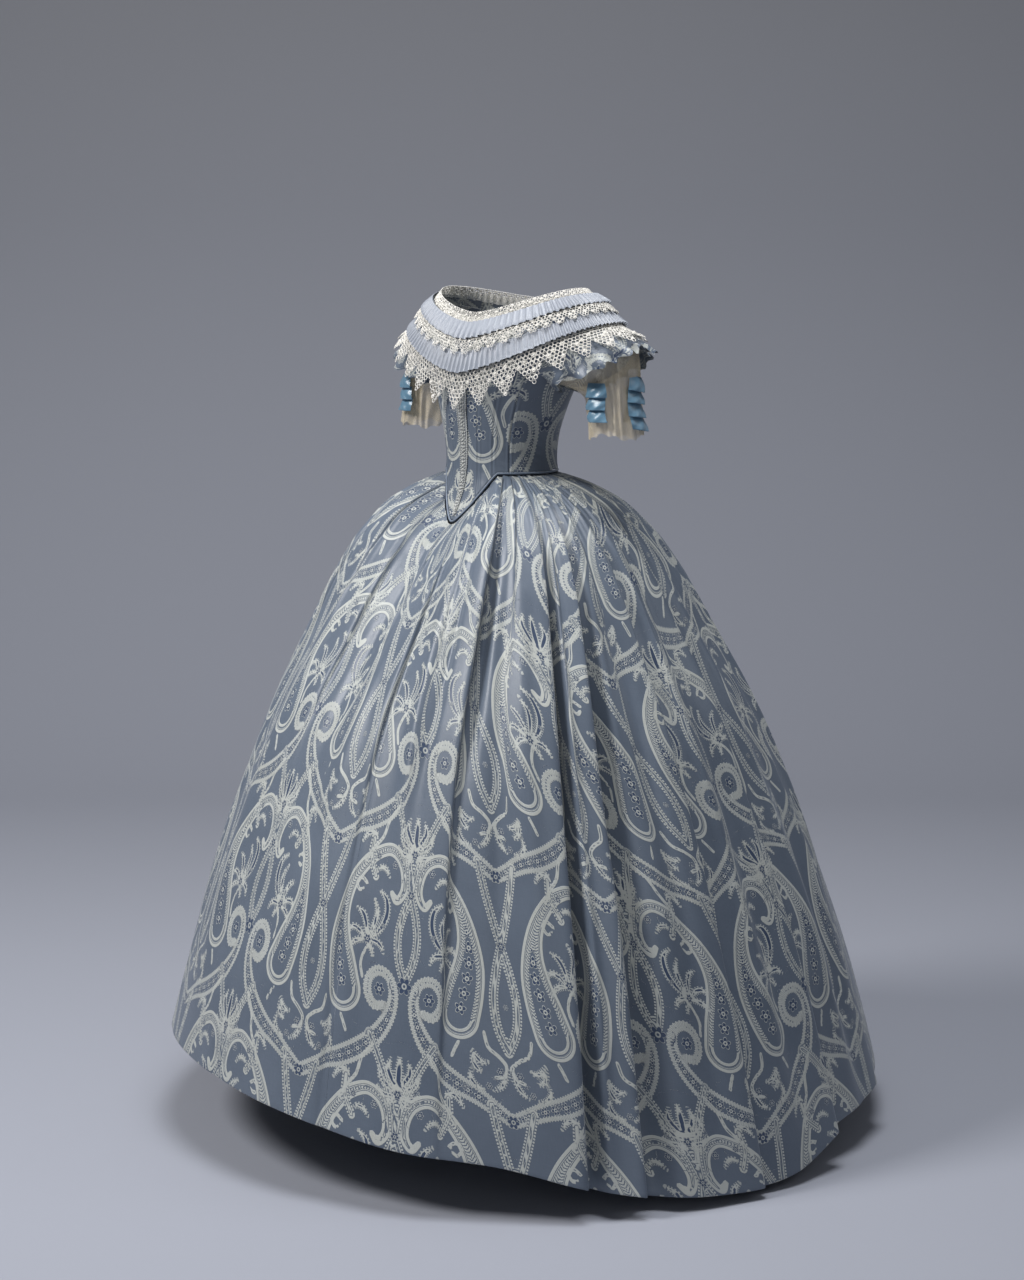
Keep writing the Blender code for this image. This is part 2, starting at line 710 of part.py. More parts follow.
def armhole_edge(angle, part):
    """Down a panel's armhole edge, from the strap at 0 to the side panel at 1."""
    low = panel_place(angle, underarm_height(angle))
    return panel_surface(angle, np.interp(part, (0.0, 0.5, 1.0), (6.0, 5.0, low)))


@lru_cache(maxsize=None)
def cap_ends(turn):
    """Seam and hem points of the cap's inner half: down the back panel, under the arm, up the front."""
    front, back, low_back, low_front = CAP_CORNER_ANGLES
    front_angle, back_angle = SIDE_SEAM_ANGLES
    after_front = (turn - front) % 360.0 + front
    if after_front <= low_back:
        top = armhole_edge(back_angle, (after_front - back) / (low_back - back))
    elif after_front <= low_front:
        part = (after_front - low_back) / (low_front - low_back)
        below = back_angle + (front_angle - back_angle) * part
        top = panel_surface(below, panel_place(below, underarm_height(below)))
    else:
        top = armhole_edge(front_angle, (front + 360.0 - after_front) / (front + 360.0 - low_front))
    corners = []
    for corner in (back, front):
        depth = float(read(CAP_HEM, corner)[0])
        corners.append((corner, *bertha_layer(over_arm(corner, 1.0), depth, 0.0)))
    hem_row = (corners[0], *CAP_INNER_HEM, (corners[1][0] + 360.0, *corners[1][1:]))
    return top + ARMHOLE_FACING * SEAM_GAP * 2, read(hem_row, after_front)


def cap_surface(angle, place):
    """The cap from the armhole at 0 to its hem at 1."""
    front, back = CAP_CORNER_ANGLES[:2]
    turn = angle % 360.0
    if front <= turn <= back:
        top_depth = STRAP_WIDTH + SEAM_GAP * 2
        hem_depth = float(read(CAP_HEM, turn)[0])
        return bertha_layer(over_arm(turn, place), top_depth + (hem_depth - top_depth) * place, 0.0)
    top, hem = cap_ends(turn)
    return top * (1 - place) + hem * place


def build_sleeves():
    """Flared caps, sheer net sleeves caught inside them and open below, and the ribbons on the net."""
    angles = np.arange(0.0, 360.0, CAP_COLUMN_ANGLE)
    cap = np.array([[cap_surface(angle, place) for angle in angles] for place in (0.0, 0.25, 0.5, 0.75, 1.0)])
    cap_inner = ring_inner(cap, SILK_WALL)
    caught = cap[3] + (cap_inner[3] - cap[3]) * (1 + SEAM_GAP * 2 / SILK_WALL)
    rows = [caught]
    for place in (0.3, 0.6, 1.0):
        heights = caught[:, 2] + (NET_RINGS[-1][0] - caught[:, 2]) * place
        rows.append([net_ring(angle, height) for angle, height in zip(angles, heights)])
    net = np.array(rows)
    net_inner = ring_inner(net, LACE_WALL)
    pieces = (("sleeve_cap", cap, cap_inner, "brocade"), ("undersleeve", net, net_inner, "net"))
    for name, outer, inner, finish in pieces:
        add_grid_wall(f"{name}_left", outer, inner, finish, closed=True)
        add_grid_wall(f"{name}_right", mirrored(outer), mirrored(inner), finish, closed=True)
    build_sleeve_ribbons(net)


def net_facet_point(net, angle, height):
    """A point on the net sleeve's own facets, and the way out from the arm there."""
    column_place = (angle % 360.0) / CAP_COLUMN_ANGLE
    first = int(column_place)
    point = np.zeros(3)
    for column_index, share in ((first, first + 1 - column_place), (first + 1, column_place - first)):
        line = net[::-1, column_index % net.shape[1]]
        point += share * np.array([np.interp(height, line[:, 2], line[:, axis]) for axis in range(3)])
    centre_x, centre_y = read(NET_RINGS[::-1], height)[:2]
    outward = np.array((point[0] - centre_x, point[1] - centre_y, 0.0))
    return point, outward / np.linalg.norm(outward)


def build_sleeve_ribbons(net):
    """Ends of satin ribbon in cross pleats, laid down the undersleeve."""
    for number, (angle, top, bottom, clearance) in enumerate(SLEEVE_RIBBONS, 1):
        steps = RIBBON_PLEATS * 2
        half_turn = math.degrees(RIBBON_WIDTH / 2 / NET_RINGS[1][3])
        outer = []
        inner = []
        for step in range(steps + 1):
            height = top + (bottom - top) * step / steps
            lift = clearance + (RIBBON_PLEAT_HEIGHT if step % 2 else 0.0)
            points = [net_facet_point(net, angle + side * half_turn, height) for side in (-1, 0, 1)]
            inner.append([point + outward * lift for point, outward in points])
            outer.append([point + outward * (lift + RIBBON_WALL) for point, outward in points])
        add_grid_wall(f"sleeve_ribbon_left_{number}", outer, inner, "sleeve ribbon")
        add_grid_wall(f"sleeve_ribbon_right_{number}", mirrored(outer), mirrored(inner), "sleeve ribbon")


def ring_inner(outer, wall):
    """Inner points of a tube, moved toward each ring's middle and square to the tube's length."""
    down = np.gradient(outer, axis=0)
    across = (np.roll(outer, -1, axis=1) - np.roll(outer, 1, axis=1)) / 2
    normal = np.cross(across, down)
    normal /= np.linalg.norm(normal, axis=2)[:, :, None]
    middle = outer.mean(axis=1, keepdims=True)
    if np.sum(normal * (outer - middle)) < 0:
        normal = -normal
    return outer - normal * wall


def net_ring(angle, height):
    x, y, radius_x, radius_y = read(NET_RINGS[::-1], height)
    turn = math.radians(angle)
    return np.array((x + radius_x * math.sin(turn), y - radius_y * math.cos(turn), height))


def main():
    for old in list(bpy.data.objects):
        bpy.data.objects.remove(old, do_unlink=True)
    build_skirt()
    build_bodice()
    build_straps()
    build_piping()
    build_centre_trim()
    build_frills()
    build_narrow_laces()
    build_lower_lace()
    build_sleeves()


main()
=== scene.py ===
# Looks of a crinoline evening dress of brocaded silk, about 1855 in cut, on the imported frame.
import math

import bmesh
import bpy
import numpy as np
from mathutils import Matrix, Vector


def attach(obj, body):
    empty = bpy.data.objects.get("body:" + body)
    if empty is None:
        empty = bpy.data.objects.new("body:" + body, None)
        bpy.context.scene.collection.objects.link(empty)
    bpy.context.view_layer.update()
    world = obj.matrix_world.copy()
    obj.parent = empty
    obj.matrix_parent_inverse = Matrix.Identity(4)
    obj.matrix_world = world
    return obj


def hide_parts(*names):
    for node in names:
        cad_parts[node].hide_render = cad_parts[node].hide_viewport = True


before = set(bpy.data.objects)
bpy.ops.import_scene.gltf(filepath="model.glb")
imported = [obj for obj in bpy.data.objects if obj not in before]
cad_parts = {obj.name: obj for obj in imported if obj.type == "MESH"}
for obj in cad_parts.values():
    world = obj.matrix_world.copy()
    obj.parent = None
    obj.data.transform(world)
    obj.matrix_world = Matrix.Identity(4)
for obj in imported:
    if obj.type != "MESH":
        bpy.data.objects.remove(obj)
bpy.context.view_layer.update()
scene = bpy.context.scene


def say(text):
    print("scene:", text)


# Camera: to her left of the front, a little above the waist
camera = {"turn": 45.0, "distance": 4.6, "height": 0.375, "down": 8.3, "pan": 0.1, "lens": 76.55}


def placeCamera():
    turn = math.radians(camera["turn"])
    pan = math.radians(camera["pan"])
    made = bpy.data.objects.new("photoCamera", bpy.data.cameras.new("photoCamera"))
    made.location = (
        math.sin(turn) * camera["distance"], -math.cos(turn) * camera["distance"], camera["height"]
    )
    made.rotation_euler = (math.radians(90 - camera["down"]), 0.0, turn - pan)
    made.data.lens = camera["lens"]
    made.data.sensor_width = 36.0
    made.data.sensor_fit = "AUTO"
    made.data.clip_end = 60.0
    scene.collection.objects.link(made)
    scene.camera = made


placeCamera()


# Curves and surfaces of the form, in metres and degrees from the front towards her left
def curveAt(value, table):
    # All columns of a table after its first, read smoothly at values of the first.
    table = np.asarray(table, float)
    places = table[:, 0]
    values = table[:, 1:]
    slopes = np.gradient(values, places, axis=0)
    value = np.clip(np.asarray(value, float), places[0], places[-1])
    index = np.clip(np.searchsorted(places, value) - 1, 0, len(places) - 2)
    step = (places[index + 1] - places[index])[..., None]
    t = (value - places[index])[..., None] / step
    start = (2 * t**3 - 3 * t**2 + 1) * values[index] + (t**3 - 2 * t**2 + t) * step * slopes[index]
    end = (3 * t**2 - 2 * t**3) * values[index + 1] + (t**3 - t**2) * step * slopes[index + 1]
    return start + end


def columns(value, table):
    return np.moveaxis(curveAt(value, table), -1, 0)


def wrapped(angle):
    return (np.asarray(angle, float) + 180.0) % 360.0 - 180.0


def smooth(value, low, high):
    part = np.clip((np.asarray(value, float) - low) / (high - low), 0.0, 1.0)
    return part * part * (3 - 2 * part)


def ringPoint(half, front, back, centre, angle):
    sine = np.sin(np.radians(angle))
    cosine = np.cos(np.radians(angle))
    reach = np.where(cosine > 0, front + centre, back - centre)
    return half * sine, centre - reach * cosine


# Columns: height, half width, front distance, back distance, y where the ring is widest
bodiceRings = (
    (-0.100, 0.170, 0.140, 0.110, -0.014),
    (-0.080, 0.150, 0.129, 0.100, -0.014),
    (-0.030, 0.112, 0.108, 0.082, -0.014),
    (0.000, 0.0985, 0.1015, 0.076, -0.014),
    (0.025, 0.0975, 0.1005, 0.0745, -0.014),
    (0.050, 0.1005, 0.102, 0.076, -0.014),
    (0.100, 0.116, 0.107, 0.084, -0.008),
    (0.150, 0.140, 0.109, 0.096, 0.002),
    (0.190, 0.156, 0.107, 0.102, 0.012),
)

# Columns: depth down the cloth, half width, front and back distance, y of the widest place,
# heights at front, side and back, power of the rise to the side
berthaRings = (
    (-0.020, 0.161, 0.083, 0.100, 0.021, 0.266, 0.309, 0.286, 1.45),
    (0.000, 0.174, 0.093, 0.108, 0.024, 0.247, 0.297, 0.268, 1.45),
    (0.026, 0.191, 0.105, 0.117, 0.028, 0.221, 0.282, 0.244, 1.45),
    (0.054, 0.207, 0.113, 0.124, 0.030, 0.194, 0.265, 0.218, 1.45),
    (0.086, 0.223, 0.118, 0.129, 0.030, 0.164, 0.247, 0.189, 1.45),
    (0.118, 0.243, 0.122, 0.132, 0.037, 0.133, 0.230, 0.159, 1.50),
    (0.150, 0.264, 0.127, 0.135, 0.046, 0.103, 0.214, 0.130, 1.60),
    (0.175, 0.282, 0.131, 0.138, 0.054, 0.080, 0.200, 0.108, 1.60),
)
berthaDepth = 0.007


def bodiceRing(angle, height):
    half, front, back, centre = columns(height, bodiceRings)
    x, y = ringPoint(half, front, back, centre, angle)
    return np.stack([x, y, np.broadcast_to(height, x.shape)], axis=-1)


def lowerEdge(angle):
    near = np.maximum(0.0, 1.0 - np.hypot(wrapped(angle), 2.0) / 38.0)
    return -0.086 * near**1.3


def belowEdge(angle, distance):
    angle = np.abs(wrapped(angle))
    edge = bodiceRing(angle, lowerEdge(angle))
    beside = bodiceRing(angle + 1.0, lowerEdge(angle + 1.0))
    slope = (beside[..., 2] - edge[..., 2]) / np.linalg.norm((beside - edge)[..., :2], axis=-1)
    return lowerEdge(angle) - distance * np.sqrt(1 + slope**2)


def berthaRing(angle, depth):
    half, front, back, centre, zFront, zSide, zBack, power = columns(depth, berthaRings)
    x, y = ringPoint(half, front, back, centre, angle)
    middle = np.where(np.cos(np.radians(angle)) > 0, zFront, zBack)
    lift = np.abs(np.sin(np.radians(angle))) ** power
    return np.stack([x, y, middle + (zSide - middle) * lift], axis=-1)


def berthaNormal(angle, depth):
    across = berthaRing(angle + 0.5, depth) - berthaRing(angle - 0.5, depth)
    down = berthaRing(angle, depth + 0.003) - berthaRing(angle, depth - 0.003)
    normal = np.cross(down, across)
    return normal / np.linalg.norm(normal, axis=-1, keepdims=True)


def berthaLayer(angle, depth, height):
    # A point a given height above the cloth that carries the bertha's trimmings.
    angle, depth, height = np.broadcast_arrays(
        np.asarray(angle, float), np.asarray(depth, float), np.asarray(height, float)
    )
    normal = berthaNormal(angle, depth)
    return berthaRing(angle, depth) + normal * (height - berthaDepth)[..., None]


def panelColumn(angle, places):
    # Points up the bodice at one angle: 0 at the lower edge, 4 at the chest, 8 at the neckline.
    low = float(lowerEdge(angle))
    heights = np.array((low, low * 0.5 + 0.010, 0.050, 0.100, 0.150))
    lower = bodiceRing(np.full(5, float(angle)), heights)
    upper = berthaLayer(float(angle), np.array((0.086, 0.034, 0.017, 0.0)), 0.0)
    points = np.concatenate([lower, upper])
    lengths = np.concatenate([[0.0], np.cumsum(np.linalg.norm(np.diff(points, axis=0), axis=1))])
    where = np.interp(places, np.arange(len(points)), lengths)
    return curveAt(where, np.column_stack([lengths, points]))


def panelPlace(angle, height):
    low, high = 0.0, 8.0
    for _ in range(18):
        middle = (low + high) / 2
        if panelColumn(angle, np.array([middle]))[0, 2] < height:
            low = middle
        else:
            high = middle
    return (low + high) / 2


def underarmHeight(angle):
    away = min(1.0, abs(angle - 90.0) / 40.0)
    return 0.150 + 0.020 * away**2


# Meshes
def gridNormals(points, closed=False):
    # Outward normals of a grid whose rows run down and whose columns run towards her left.
    down = np.gradient(points, axis=0)
    if closed:
        across = (np.roll(points, -1, axis=1) - np.roll(points, 1, axis=1)) / 2
    else:
        across = np.gradient(points, axis=1)
    normal = np.cross(down, across)
    return normal / np.maximum(np.linalg.norm(normal, axis=2, keepdims=True), 1e-12)


def gridMesh(name, points, material, closed=False):
    # One sheet of quads over a grid of points, with its normals out.
    rows, across = points.shape[:2]
    first = np.arange(rows - 1)[:, None] * across + np.arange(across if closed else across - 1)[None, :]
    beside = first + 1
    if closed:
        beside[:, -1] -= across
    quads = np.stack([first, first + across, beside + across, beside], axis=-1).reshape(-1, 4)
    mesh = bpy.data.meshes.new(name)
    mesh.vertices.add(rows * across)
    mesh.vertices.foreach_set("co", points.astype(np.float32).ravel())
    mesh.loops.add(quads.size)
    mesh.loops.foreach_set("vertex_index", quads.astype(np.int32).ravel())
    mesh.polygons.add(len(quads))
    mesh.polygons.foreach_set("loop_start", np.arange(0, quads.size, 4, dtype=np.int32))
    mesh.update(calc_edges=True)
    mesh.validate()
    mesh.materials.append(material)
    mesh.shade_smooth()
    made = bpy.data.objects.new(name, mesh)
    scene.collection.objects.link(made)
    return made


def giveVector(piece, name, values):
    values = np.asarray(values, np.float32).reshape(-1, 3)
    piece.data.attributes.new(name, "FLOAT_VECTOR", "POINT").data.foreach_set("vector", values.ravel())


def giveUv(piece, u, v):
    # A flat map in metres of cloth.
    corners = np.empty(len(piece.data.loops), np.int32)
    piece.data.loops.foreach_get("vertex_index", corners)
    layer = piece.data.uv_layers.new(name="cloth")
    flat = np.stack([np.ravel(u)[corners], np.ravel(v)[corners]], axis=1).astype(np.float32)
    layer.data.foreach_set("uv", flat.ravel())


def lengthsAlong(points, axis):
    steps = np.linalg.norm(np.diff(points, axis=axis), axis=-1)
    total = np.cumsum(steps, axis=axis)
    pad = [(0, 0), (0, 0)]
    pad[axis] = (1, 0)
    return np.pad(total, pad)


def finishPiece(piece, nodes):
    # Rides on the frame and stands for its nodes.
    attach(piece, "root")
    if nodes:
        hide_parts(*nodes)
    return piece


# Woven pattern: curves over half a repeat, mirrored at both sides, in millimetres
repeatHalf = 200.0
repeatTall = 370.0

# Paisley body, from the bulb to the hook. Columns: x, y, half width
paisleyLine = (
    (82, 36, 36), (70, 74, 34), (60, 112, 28), (59, 152, 20), (69, 192, 14.5), (90, 228, 12),
    (118, 257, 11), (148, 268, 10.5), (172, 257, 10), (184, 232, 9), (183, 206, 8), (170, 192, 6.5),
    (160, 202, 5),
)
# Flower band, from its scroll to the middle between two paisleys
garlandLine = (
    (164, 30, 6.5), (146, 26, 7.5), (131, 42, 8), (132, 66, 8), (150, 80, 8), (170, 74, 8),
    (180, 54, 9), (178, 26, 11), (160, -10, 14), (128, -42, 16), (92, -66, 16), (56, -82, 14),
    (26, -98, 12), (0, -112, 10),
)
# Beaded ribbons. Columns: x, y, half width
ribbonLines = (
    ((34, 278, 8), (24, 235, 8), (12, 192, 8), (0, 152, 8)),
    ((0, 152, 8), (12, 112, 8), (20, 66, 8), (15, 24, 8), (0, -8, 8)),
    ((200, 206, 8), (187, 172, 8), (181, 134, 8), (187, 100, 8), (200, 70, 8)),
    ((200, 206, 8), (193, 246, 8), (178, 286, 8), (160, 322, 8), (140, 352, 8)),
    ((104, -92, 7), (104, -120, 7), (120, -150, 7)),
)
# Plain double lines: the brace between the bulbs, tendrils and little scrolls
tendrilLines = (
    ((40, 16, 2.6), (34, -6, 2.6), (16, -18, 2.6), (5, -30, 2.6), (8, -44, 2.6), (24, -50, 2.6)),
    ((150, 338, 2.6), (130, 312, 2.6), (122, 284, 2.6), (106, 262, 2.6), (94, 240, 2.6)),
    ((104, 206, 2.6), (92, 212, 2.6), (84, 202, 2.6), (92, 192, 2.2), (100, 198, 1.6)),
    ((118, 62, 2.2), (112, 84, 2.2), (118, 104, 2.2), (126, 118, 2.0)),
    ((84, -4, 2.4), (90, -14, 2.4), (96, -26, 2.4)),
)
# Leaf strokes of the sprays. Columns: x, y, half width
leafLines = (
    ((122, 122, 0.8), (142, 140, 3.4), (154, 166, 4.2), (150, 190, 3.4), (136, 200, 0.8)),
    ((120, 122, 0.8), (130, 146, 3.0), (134, 168, 3.0), (126, 184, 0.6)),
    ((118, 122, 0.8), (114, 144, 3.2), (104, 160, 3.0), (94, 164, 0.6)),
    ((116, 120, 0.8), (102, 132, 3.0), (90, 134, 2.6), (82, 126, 0.6)),
    ((116, 118, 0.8), (102, 116, 2.8), (92, 108, 2.4), (88, 98, 0.5)),
    ((122, 118, 0.8), (136, 122, 3.0), (148, 118, 2.8), (154, 108, 0.5)),
    ((120, 116, 0.8), (130, 108, 2.6), (134, 98, 0.5)),
    ((200, -96, 1.0), (199, -76, 3.6), (200, -54, 3.4), (200, -40, 0.6)),
    ((199, -94, 0.8), (188, -78, 3.4), (180, -62, 3.2), (184, -48, 0.6)),
    ((198, -96, 0.8), (182, -90, 3.2), (168, -78, 3.2), (164, -66, 0.6)),
    ((198, -100, 0.8), (182, -104, 3.0), (168, -100, 2.6), (160, -92, 0.5)),
    ((197, -104, 0.8), (186, -114, 2.6), (176, -116, 0.5)),
    ((60, -14, 0.5), (54, -24, 2.6), (44, -30, 2.4), (36, -28, 0.5)),
    ((62, -18, 0.5), (60, -32, 2.6), (52, -42, 2.2), (46, -44, 0.5)),
    ((28, 300, 0.5), (16, 308, 2.6), (8, 322, 2.4), (4, 334, 0.5)),
    ((46, 300, 0.5), (58, 304, 2.6), (66, 316, 2.4), (64, 328, 0.5)),
    ((150, 226, 0.5), (140, 236, 2.4), (128, 236, 2.0), (122, 230, 0.5)),
    ((80, 268, 0.5), (88, 280, 2.6), (100, 286, 2.2), (110, 284, 0.5)),
)
# Rosettes, where ribbons cross and in the scroll. Columns: x, y, radius
rosettes = (
    (0, 152, 8), (200, 206, 8), (200, 66, 15), (0, -112, 11), (153, 52, 11), (120, 122, 8),
    (200, -100, 8), (16, 330, 7), (76, 300, 6), (160, -124, 7), (120, -118, 6), (0, 60, 5),
    (150, 148, 5), (36, -64, 6),
)


def smoothLine(line, step=2.0):
    # A line of points resampled smoothly, with the length up to each.
    line = np.asarray(line, float)
    chord = np.concatenate([[0.0], np.cumsum(np.linalg.norm(np.diff(line[:, :2], axis=0), axis=1))])
    count = max(int(chord[-1] / step), 4)
    fine = curveAt(np.linspace(0, chord[-1], count), np.column_stack([chord, line]))
    length = np.concatenate([[0.0], np.cumsum(np.linalg.norm(np.diff(fine[:, :2], axis=0), axis=1))])
    return fine, length


def nearestOnLines(points, lines, shifts):
    # For each point of the repeat: signed offset from the nearest line, length along it, and
    # how far inside the line's edge it lies.
    best = np.full(len(points), -1e9)
    offset = np.zeros(len(points))
    place = np.zeros(len(points))
    for line in lines:
        fine, length = smoothLine(line)
        for shift in shifts:
            start = fine[:-1, :2] + (0, shift)
            along = np.diff(fine[:, :2], axis=0)
            size = np.linalg.norm(along, axis=1)
            unit = along / size[:, None]
            for low in range(0, len(points), 20000):
                part = slice(low, low + 20000)
                gap = points[part, None, :] - start[None]
                run = np.clip((gap * unit[None]).sum(-1), 0, size[None])
                rest = gap - unit[None] * run[..., None]
                width = fine[:-1, 2][None] + np.diff(fine[:, 2])[None] * run / size[None]
                inside = width - np.linalg.norm(rest, axis=-1)
                pick = inside.argmax(axis=1)
                rows = np.arange(len(pick))
                value = inside[rows, pick]
                side = np.sign(unit[pick, 0] * rest[rows, pick, 1] - unit[pick, 1] * rest[rows, pick, 0])
                better = value > best[part]
                best[part] = np.where(better, value, best[part])
                away = side * np.linalg.norm(rest[rows, pick], axis=-1)
                offset[part] = np.where(better, away, offset[part])
                where = length[pick] + run[rows, pick]
                place[part] = np.where(better, where, place[part])
    return np.stack([offset, place, best], axis=-1)


def nearestRosette(points, shifts):
    best = np.full(len(points), 1e9)
    local = np.zeros((len(points), 3))
    for x, y, radius in rosettes:
        for shift in shifts:
            gap = points - (x, y + shift)
            away = np.linalg.norm(gap, axis=1) - radius
            better = away < best
            best = np.where(better, away, best)
            value = np.column_stack([gap, np.full(len(points), radius)])
            local = np.where(better[:, None], value, local)
    return local


def makeRepeat():
    # The pattern's fields over half a repeat, one value for each millimetre.
    across, up = np.meshgrid(np.arange(repeatHalf + 1), np.arange(repeatTall + 1), indexing="ij")
    points = np.column_stack([across.ravel(), up.ravel()])
    shifts = (-repeatTall, 0.0, repeatTall)
    fields = {}
    for name, lines in (("paisley", (paisleyLine,)), ("garland", (garlandLine,)),
                        ("beading", ribbonLines), ("tendril", tendrilLines), ("leaf", leafLines)):
        fields[name] = nearestOnLines(points, lines, shifts).reshape(across.shape + (3,))
    fields["rosette"] = nearestRosette(points, shifts).reshape(across.shape + (3,))
    return fields


repeatFields = makeRepeat()
say("pattern laid out")


def givePattern(piece, u, v):
    # Reads the repeat at each point's place on the cloth, in metres, and keeps it on the piece.
    across = np.ravel(u) * 1000.0 % (2 * repeatHalf)
    turned = across > repeatHalf
    across = np.where(turned, 2 * repeatHalf - across, across)
    up = np.ravel(v) * 1000.0 % repeatTall
    left = np.clip(across.astype(int), 0, int(repeatHalf) - 1)
    low = np.clip(up.astype(int), 0, int(repeatTall) - 1)
    partLeft = (across - left)[:, None]
    partLow = (up - low)[:, None]
    for name, field in repeatFields.items():
        near = field[left, low] * (1 - partLeft) + field[left + 1, low] * partLeft
        far = field[left, low + 1] * (1 - partLeft) + field[left + 1, low + 1] * partLeft
        value = near * (1 - partLow) + far * partLow
        if name == "rosette":
            value[:, 0] = np.where(turned, -value[:, 0], value[:, 0])
        giveVector(piece, name, value)
    giveUv(piece, u, v)


# Shader building
class Nodes:
    # Adds nodes to a tree by what they do, and links them.

    def __init__(self, tree):
        self.tree = tree

    def add(self, kind, inputs=(), **settings):
        node = self.tree.nodes.new(kind)
        for key, value in settings.items():
            setattr(node, key, value)
        for name, value in dict(inputs).items():
            self.put(node.inputs[name], value)
        return node

    def put(self, socket, value):
        if isinstance(value, bpy.types.NodeSocket):
            self.tree.links.new(value, socket)
        else:
            socket.default_value = value

    def math(self, operation, *values):
        node = self.tree.nodes.new("ShaderNodeMath")
        node.operation = operation
        for socket, value in zip(node.inputs, values):
            self.put(socket, value)
        return node.outputs[0]

    def sum(self, first, *rest):
        for value in rest:
            first = self.math("ADD", first, value)
        return first

    def product(self, first, *rest):
        for value in rest:
            first = self.math("MULTIPLY", first, value)
        return first

    def most(self, first, *rest):
        for value in rest:
            first = self.math("MAXIMUM", first, value)
        return first

    def step(self, value, low, high):
        node = self.add("ShaderNodeMapRange", interpolation_type="SMOOTHSTEP")
        for name, given in (("Value", value), ("From Min", low), ("From Max", high)):
            self.put(node.inputs[name], given)
        return node.outputs[0]

    def band(self, value, low, high, soft=0.35):
        # 1 between low and high, with soft edges.
        rise = self.step(value, low - soft, low + soft)
        fall = self.step(value, high + soft, high - soft)
        return self.math("MULTIPLY", rise, fall)

    def wave(self, value, pitch):
        # Cosine of a length over a pitch, from 0 to 1.
        turn = self.math("MULTIPLY", value, 2 * math.pi / pitch)
        return self.math("MULTIPLY_ADD", self.math("COSINE", turn), 0.5, 0.5)

    def noise(self, vector, scale, detail=2.0, roughness=0.5, colour=False):
        node = self.add("ShaderNodeTexNoise", {"Vector": vector, "Scale": scale, "Detail": detail,
                                               "Roughness": roughness})
        return node.outputs["Color" if colour else "Fac"]

    def mixed(self, part, first, second):
        node = self.tree.nodes.new("ShaderNodeMix")
        node.data_type = "RGBA"
        self.put(node.inputs[0], part)
        self.put(node.inputs[6], first)
        self.put(node.inputs[7], second)
        return node.outputs[2]

    def parts(self, name):
        # The three numbers kept on the piece under a name.
        kept = self.add("ShaderNodeAttribute", attribute_name=name)
        split = self.add("ShaderNodeSeparateXYZ", {"Vector": kept.outputs["Vector"]})
        return split.outputs

    def chain(self, place, offset, pitch, radius, petals):
        # Flowers in a row: their petals' mask, and their rings' mask.
        cell = self.math("FRACT", self.math("DIVIDE", place, pitch))
        run = self.product(self.math("SUBTRACT", cell, 0.5), pitch)
        away = self.math("SQRT", self.sum(self.product(run, run), self.product(offset, offset)))
        turn = self.math("ARCTAN2", offset, run)
        lobes = self.math("ABSOLUTE", self.math("COSINE", self.product(turn, petals / 2)))
        edge = self.math("MULTIPLY_ADD", lobes, radius * 0.5, radius * 0.5)
        petal = self.step(self.math("SUBTRACT", edge, away), -0.2, 0.8)
        ring = self.band(away, radius * 0.16, radius * 0.36, 0.3)
        vein = self.band(self.math("SUBTRACT", edge, away), 0.4, 1.5, 0.4)
        return petal, self.most(ring, vein)


def newMaterial(name):
    made = bpy.data.materials.new(name)
    made.use_nodes = True
    shader = made.node_tree.nodes["Principled BSDF"]
    return made, Nodes(made.node_tree), shader


def groupOf(name, inputs, outputs):
    # An empty shader group with named sockets.
    tree = bpy.data.node_groups.new(name, "ShaderNodeTree")
    for label, kind in inputs:
        tree.interface.new_socket(label, in_out="INPUT", socket_type=kind)
    for label, kind in outputs:
        tree.interface.new_socket(label, in_out="OUTPUT", socket_type=kind)
    made = Nodes(tree)
    start = tree.nodes.new("NodeGroupInput")
    end = tree.nodes.new("NodeGroupOutput")
    return tree, made, start, end


def clothGrain():
    # Fine ribs and slubs of silk from the cloth's flat map: a height and a tone.
    tree, n, start, end = groupOf("clothGrain", (("Fineness", "NodeSocketFloat"),),
                                  (("Height", "NodeSocketFloat"), ("Tone", "NodeSocketFloat")))
    flat = n.add("ShaderNodeUVMap", uv_map="cloth").outputs["UV"]
    split = n.add("ShaderNodeSeparateXYZ", {"Vector": flat}).outputs
    rib = n.wave(n.product(split[1], start.outputs["Fineness"]), 0.0011)
    warp = n.wave(n.product(split[0], start.outputs["Fineness"]), 0.0009)
    stretched = n.add("ShaderNodeMapping", {"Vector": flat, "Scale": (900.0, 60.0, 1.0)}).outputs[0]
    slub = n.noise(stretched, 1.0, 3.0)
    crossed = n.add("ShaderNodeMapping", {"Vector": flat, "Scale": (50.0, 1100.0, 1.0)}).outputs[0]
    weft = n.noise(crossed, 1.0, 2.0)
    n.put(end.inputs["Height"], n.sum(n.product(rib, 0.5), n.product(warp, 0.3), n.product(weft, 0.8)))
    n.put(end.inputs["Tone"], n.sum(n.product(slub, 0.5), n.product(weft, 0.5)))
    return tree


